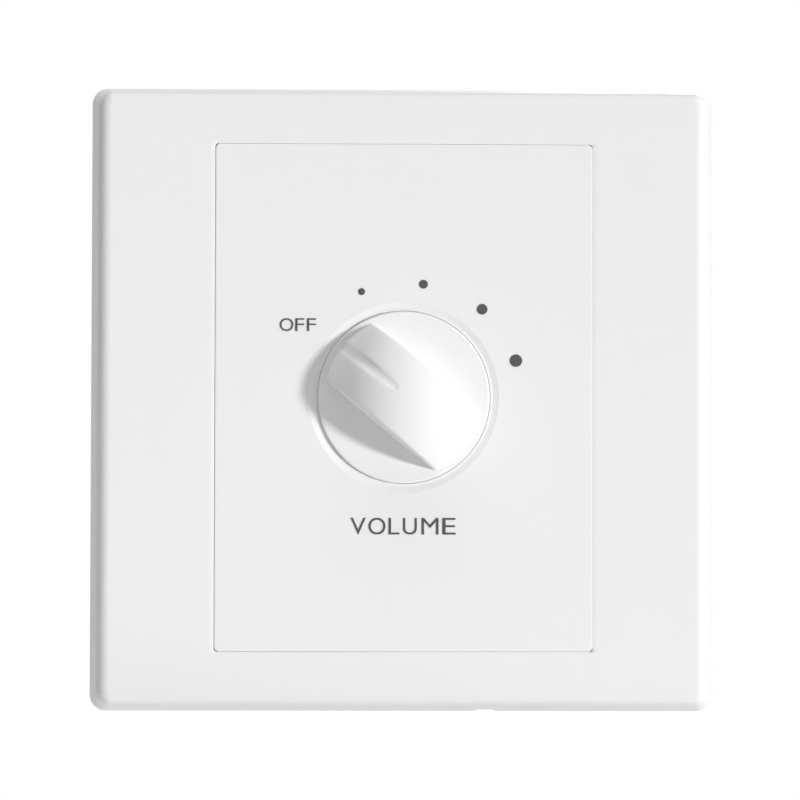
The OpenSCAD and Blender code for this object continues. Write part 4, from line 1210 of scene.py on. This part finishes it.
SUN_HEIGHT = math.radians(39.2)
SUN_TURN = math.radians(-4)
SUN_STRENGTH = 2.32
SUN_SOFTNESS = math.radians(7)
BACK_TOWARDS = (0.15, 0.95, 0.25)
BACK_STRENGTH = 1.35
AMBIENT_ALL = 0.02
AMBIENT_BACK = 0.8
AMBIENT_FRONT = 0.35
AMBIENT_ENDS = 2.75
ENDS_SPREAD = 8.0
BACK_SPREAD = 6.0
WHITE = (1, 1, 1, 1)
FLOOR_LEVEL = -100 * MM
FLOOR_HALF = 450 * MM
FLOOR_LIFT = 0.35


def photo_camera():
    """Long lens a little to the left of the plate's middle and below it."""
    lens = bpy.data.cameras.new("photo_camera")
    lens.sensor_width = SENSOR
    lens.lens = SENSOR * CAMERA_DISTANCE / VIEW_WIDTH
    camera = link_piece("photo_camera", lens)
    away = Vector((-math.sin(CAMERA_LEFT) * math.cos(CAMERA_BELOW),
                   -math.cos(CAMERA_LEFT) * math.cos(CAMERA_BELOW),
                   -math.sin(CAMERA_BELOW)))
    camera.location = AIM + away * CAMERA_DISTANCE
    facing = (-away).to_track_quat("-Z", "Y").to_euler()
    facing.rotate_axis("Z", CAMERA_ROLL)
    camera.rotation_euler = facing
    bpy.context.scene.camera = camera


def sun(name, towards, strength):
    """Soft, far lamp in a direction."""
    light = bpy.data.lights.new(name, "SUN")
    light.energy = strength
    light.angle = SUN_SOFTNESS
    link_piece(name, light).rotation_euler = Vector(towards).to_track_quat("Z", "Y").to_euler()


def lamps():
    """Key light from the right in front, and a lamp for the works behind."""
    across = math.cos(SUN_HEIGHT)
    sun("key_light", (across * math.cos(SUN_TURN), -math.sin(SUN_HEIGHT), across * math.sin(SUN_TURN)),
        SUN_STRENGTH)
    sun("back_light", BACK_TOWARDS, BACK_STRENGTH)


def seen_rays(tree):
    """One for rays of the camera, reflections and glass, nought for rays that light."""
    path = add(tree, "ShaderNodeLightPath").outputs
    mirrors = calc(tree, "MAXIMUM", path["Is Glossy Ray"], path["Is Transmission Ray"])
    return calc(tree, "MAXIMUM", path["Is Camera Ray"], mirrors)


def studio_world():
    """Soft light, most from above and below, that looks white to the camera and in reflections."""
    world = bpy.data.worlds.new("studio")
    bpy.context.scene.world = world
    world.use_nodes = True
    tree = world.node_tree
    direction = add(tree, "ShaderNodeTexCoord").outputs["Generated"]
    along = add(tree, "ShaderNodeSeparateXYZ", Vector=direction).outputs
    front = spread(tree, along["Y"], From_Min=0.0, From_Max=-1.0,
                   To_Min=AMBIENT_ALL, To_Max=AMBIENT_ALL + AMBIENT_FRONT)
    back = calc(tree, "POWER", calc(tree, "MAXIMUM", along["Y"], 0.0), BACK_SPREAD)
    ends = calc(tree, "POWER", calc(tree, "ABSOLUTE", along["Z"]), ENDS_SPREAD)
    sides = calc(tree, "MULTIPLY_ADD", back, AMBIENT_BACK, front)
    ambient = calc(tree, "MULTIPLY_ADD", ends, AMBIENT_ENDS, sides)
    shown = add(tree, "ShaderNodeMix", data_type="FLOAT", Factor=seen_rays(tree), A=ambient, B=1.0)
    fill(tree, tree.nodes["Background"], Color=WHITE, Strength=shown.outputs["Result"])


def floor():
    """Plain pale floor under the plate."""
    bpy.ops.object.select_all(action="DESELECT")
    bpy.ops.mesh.primitive_plane_add(size=2 * FLOOR_HALF, location=(0, 0, FLOOR_LEVEL))
    ground = bpy.context.object
    ground.name = "floor"
    paper = FINISHES["floor_paper"]
    tree = paper.node_tree
    fill(tree, tree.nodes["Principled BSDF"], Emission_Color=WHITE,
         Emission_Strength=calc(tree, "MULTIPLY", seen_rays(tree), FLOOR_LIFT))
    ground.data.materials.append(paper)


bpy.context.scene.view_settings.view_transform = "Standard"
finishes()
photo_camera()
lamps()
studio_world()
floor()
cover_frame()
insert_panel()
knob()
level_dots()
lettering("off_mark", OFF_SIGNS, *OFF_LEVELS)
lettering("dial_name", NAME_SIGNS, *NAME_LEVELS)
mounting_base()
for fastener in ("panel_screws", "strap_screws", "board_screws"):
    pan_screws(fastener)
core_stacks()
coil_winding()
coil_tape()
transformer_strap()
lead_wires()
lead_turns()
terminal_block()
terminal_screws()
solder_joints()
board_traces()
board_print()
screw_pads()
for plain_node, edge_width in EDGE_WIDTHS.items():
    softened(plain_node, edge_width * MM)
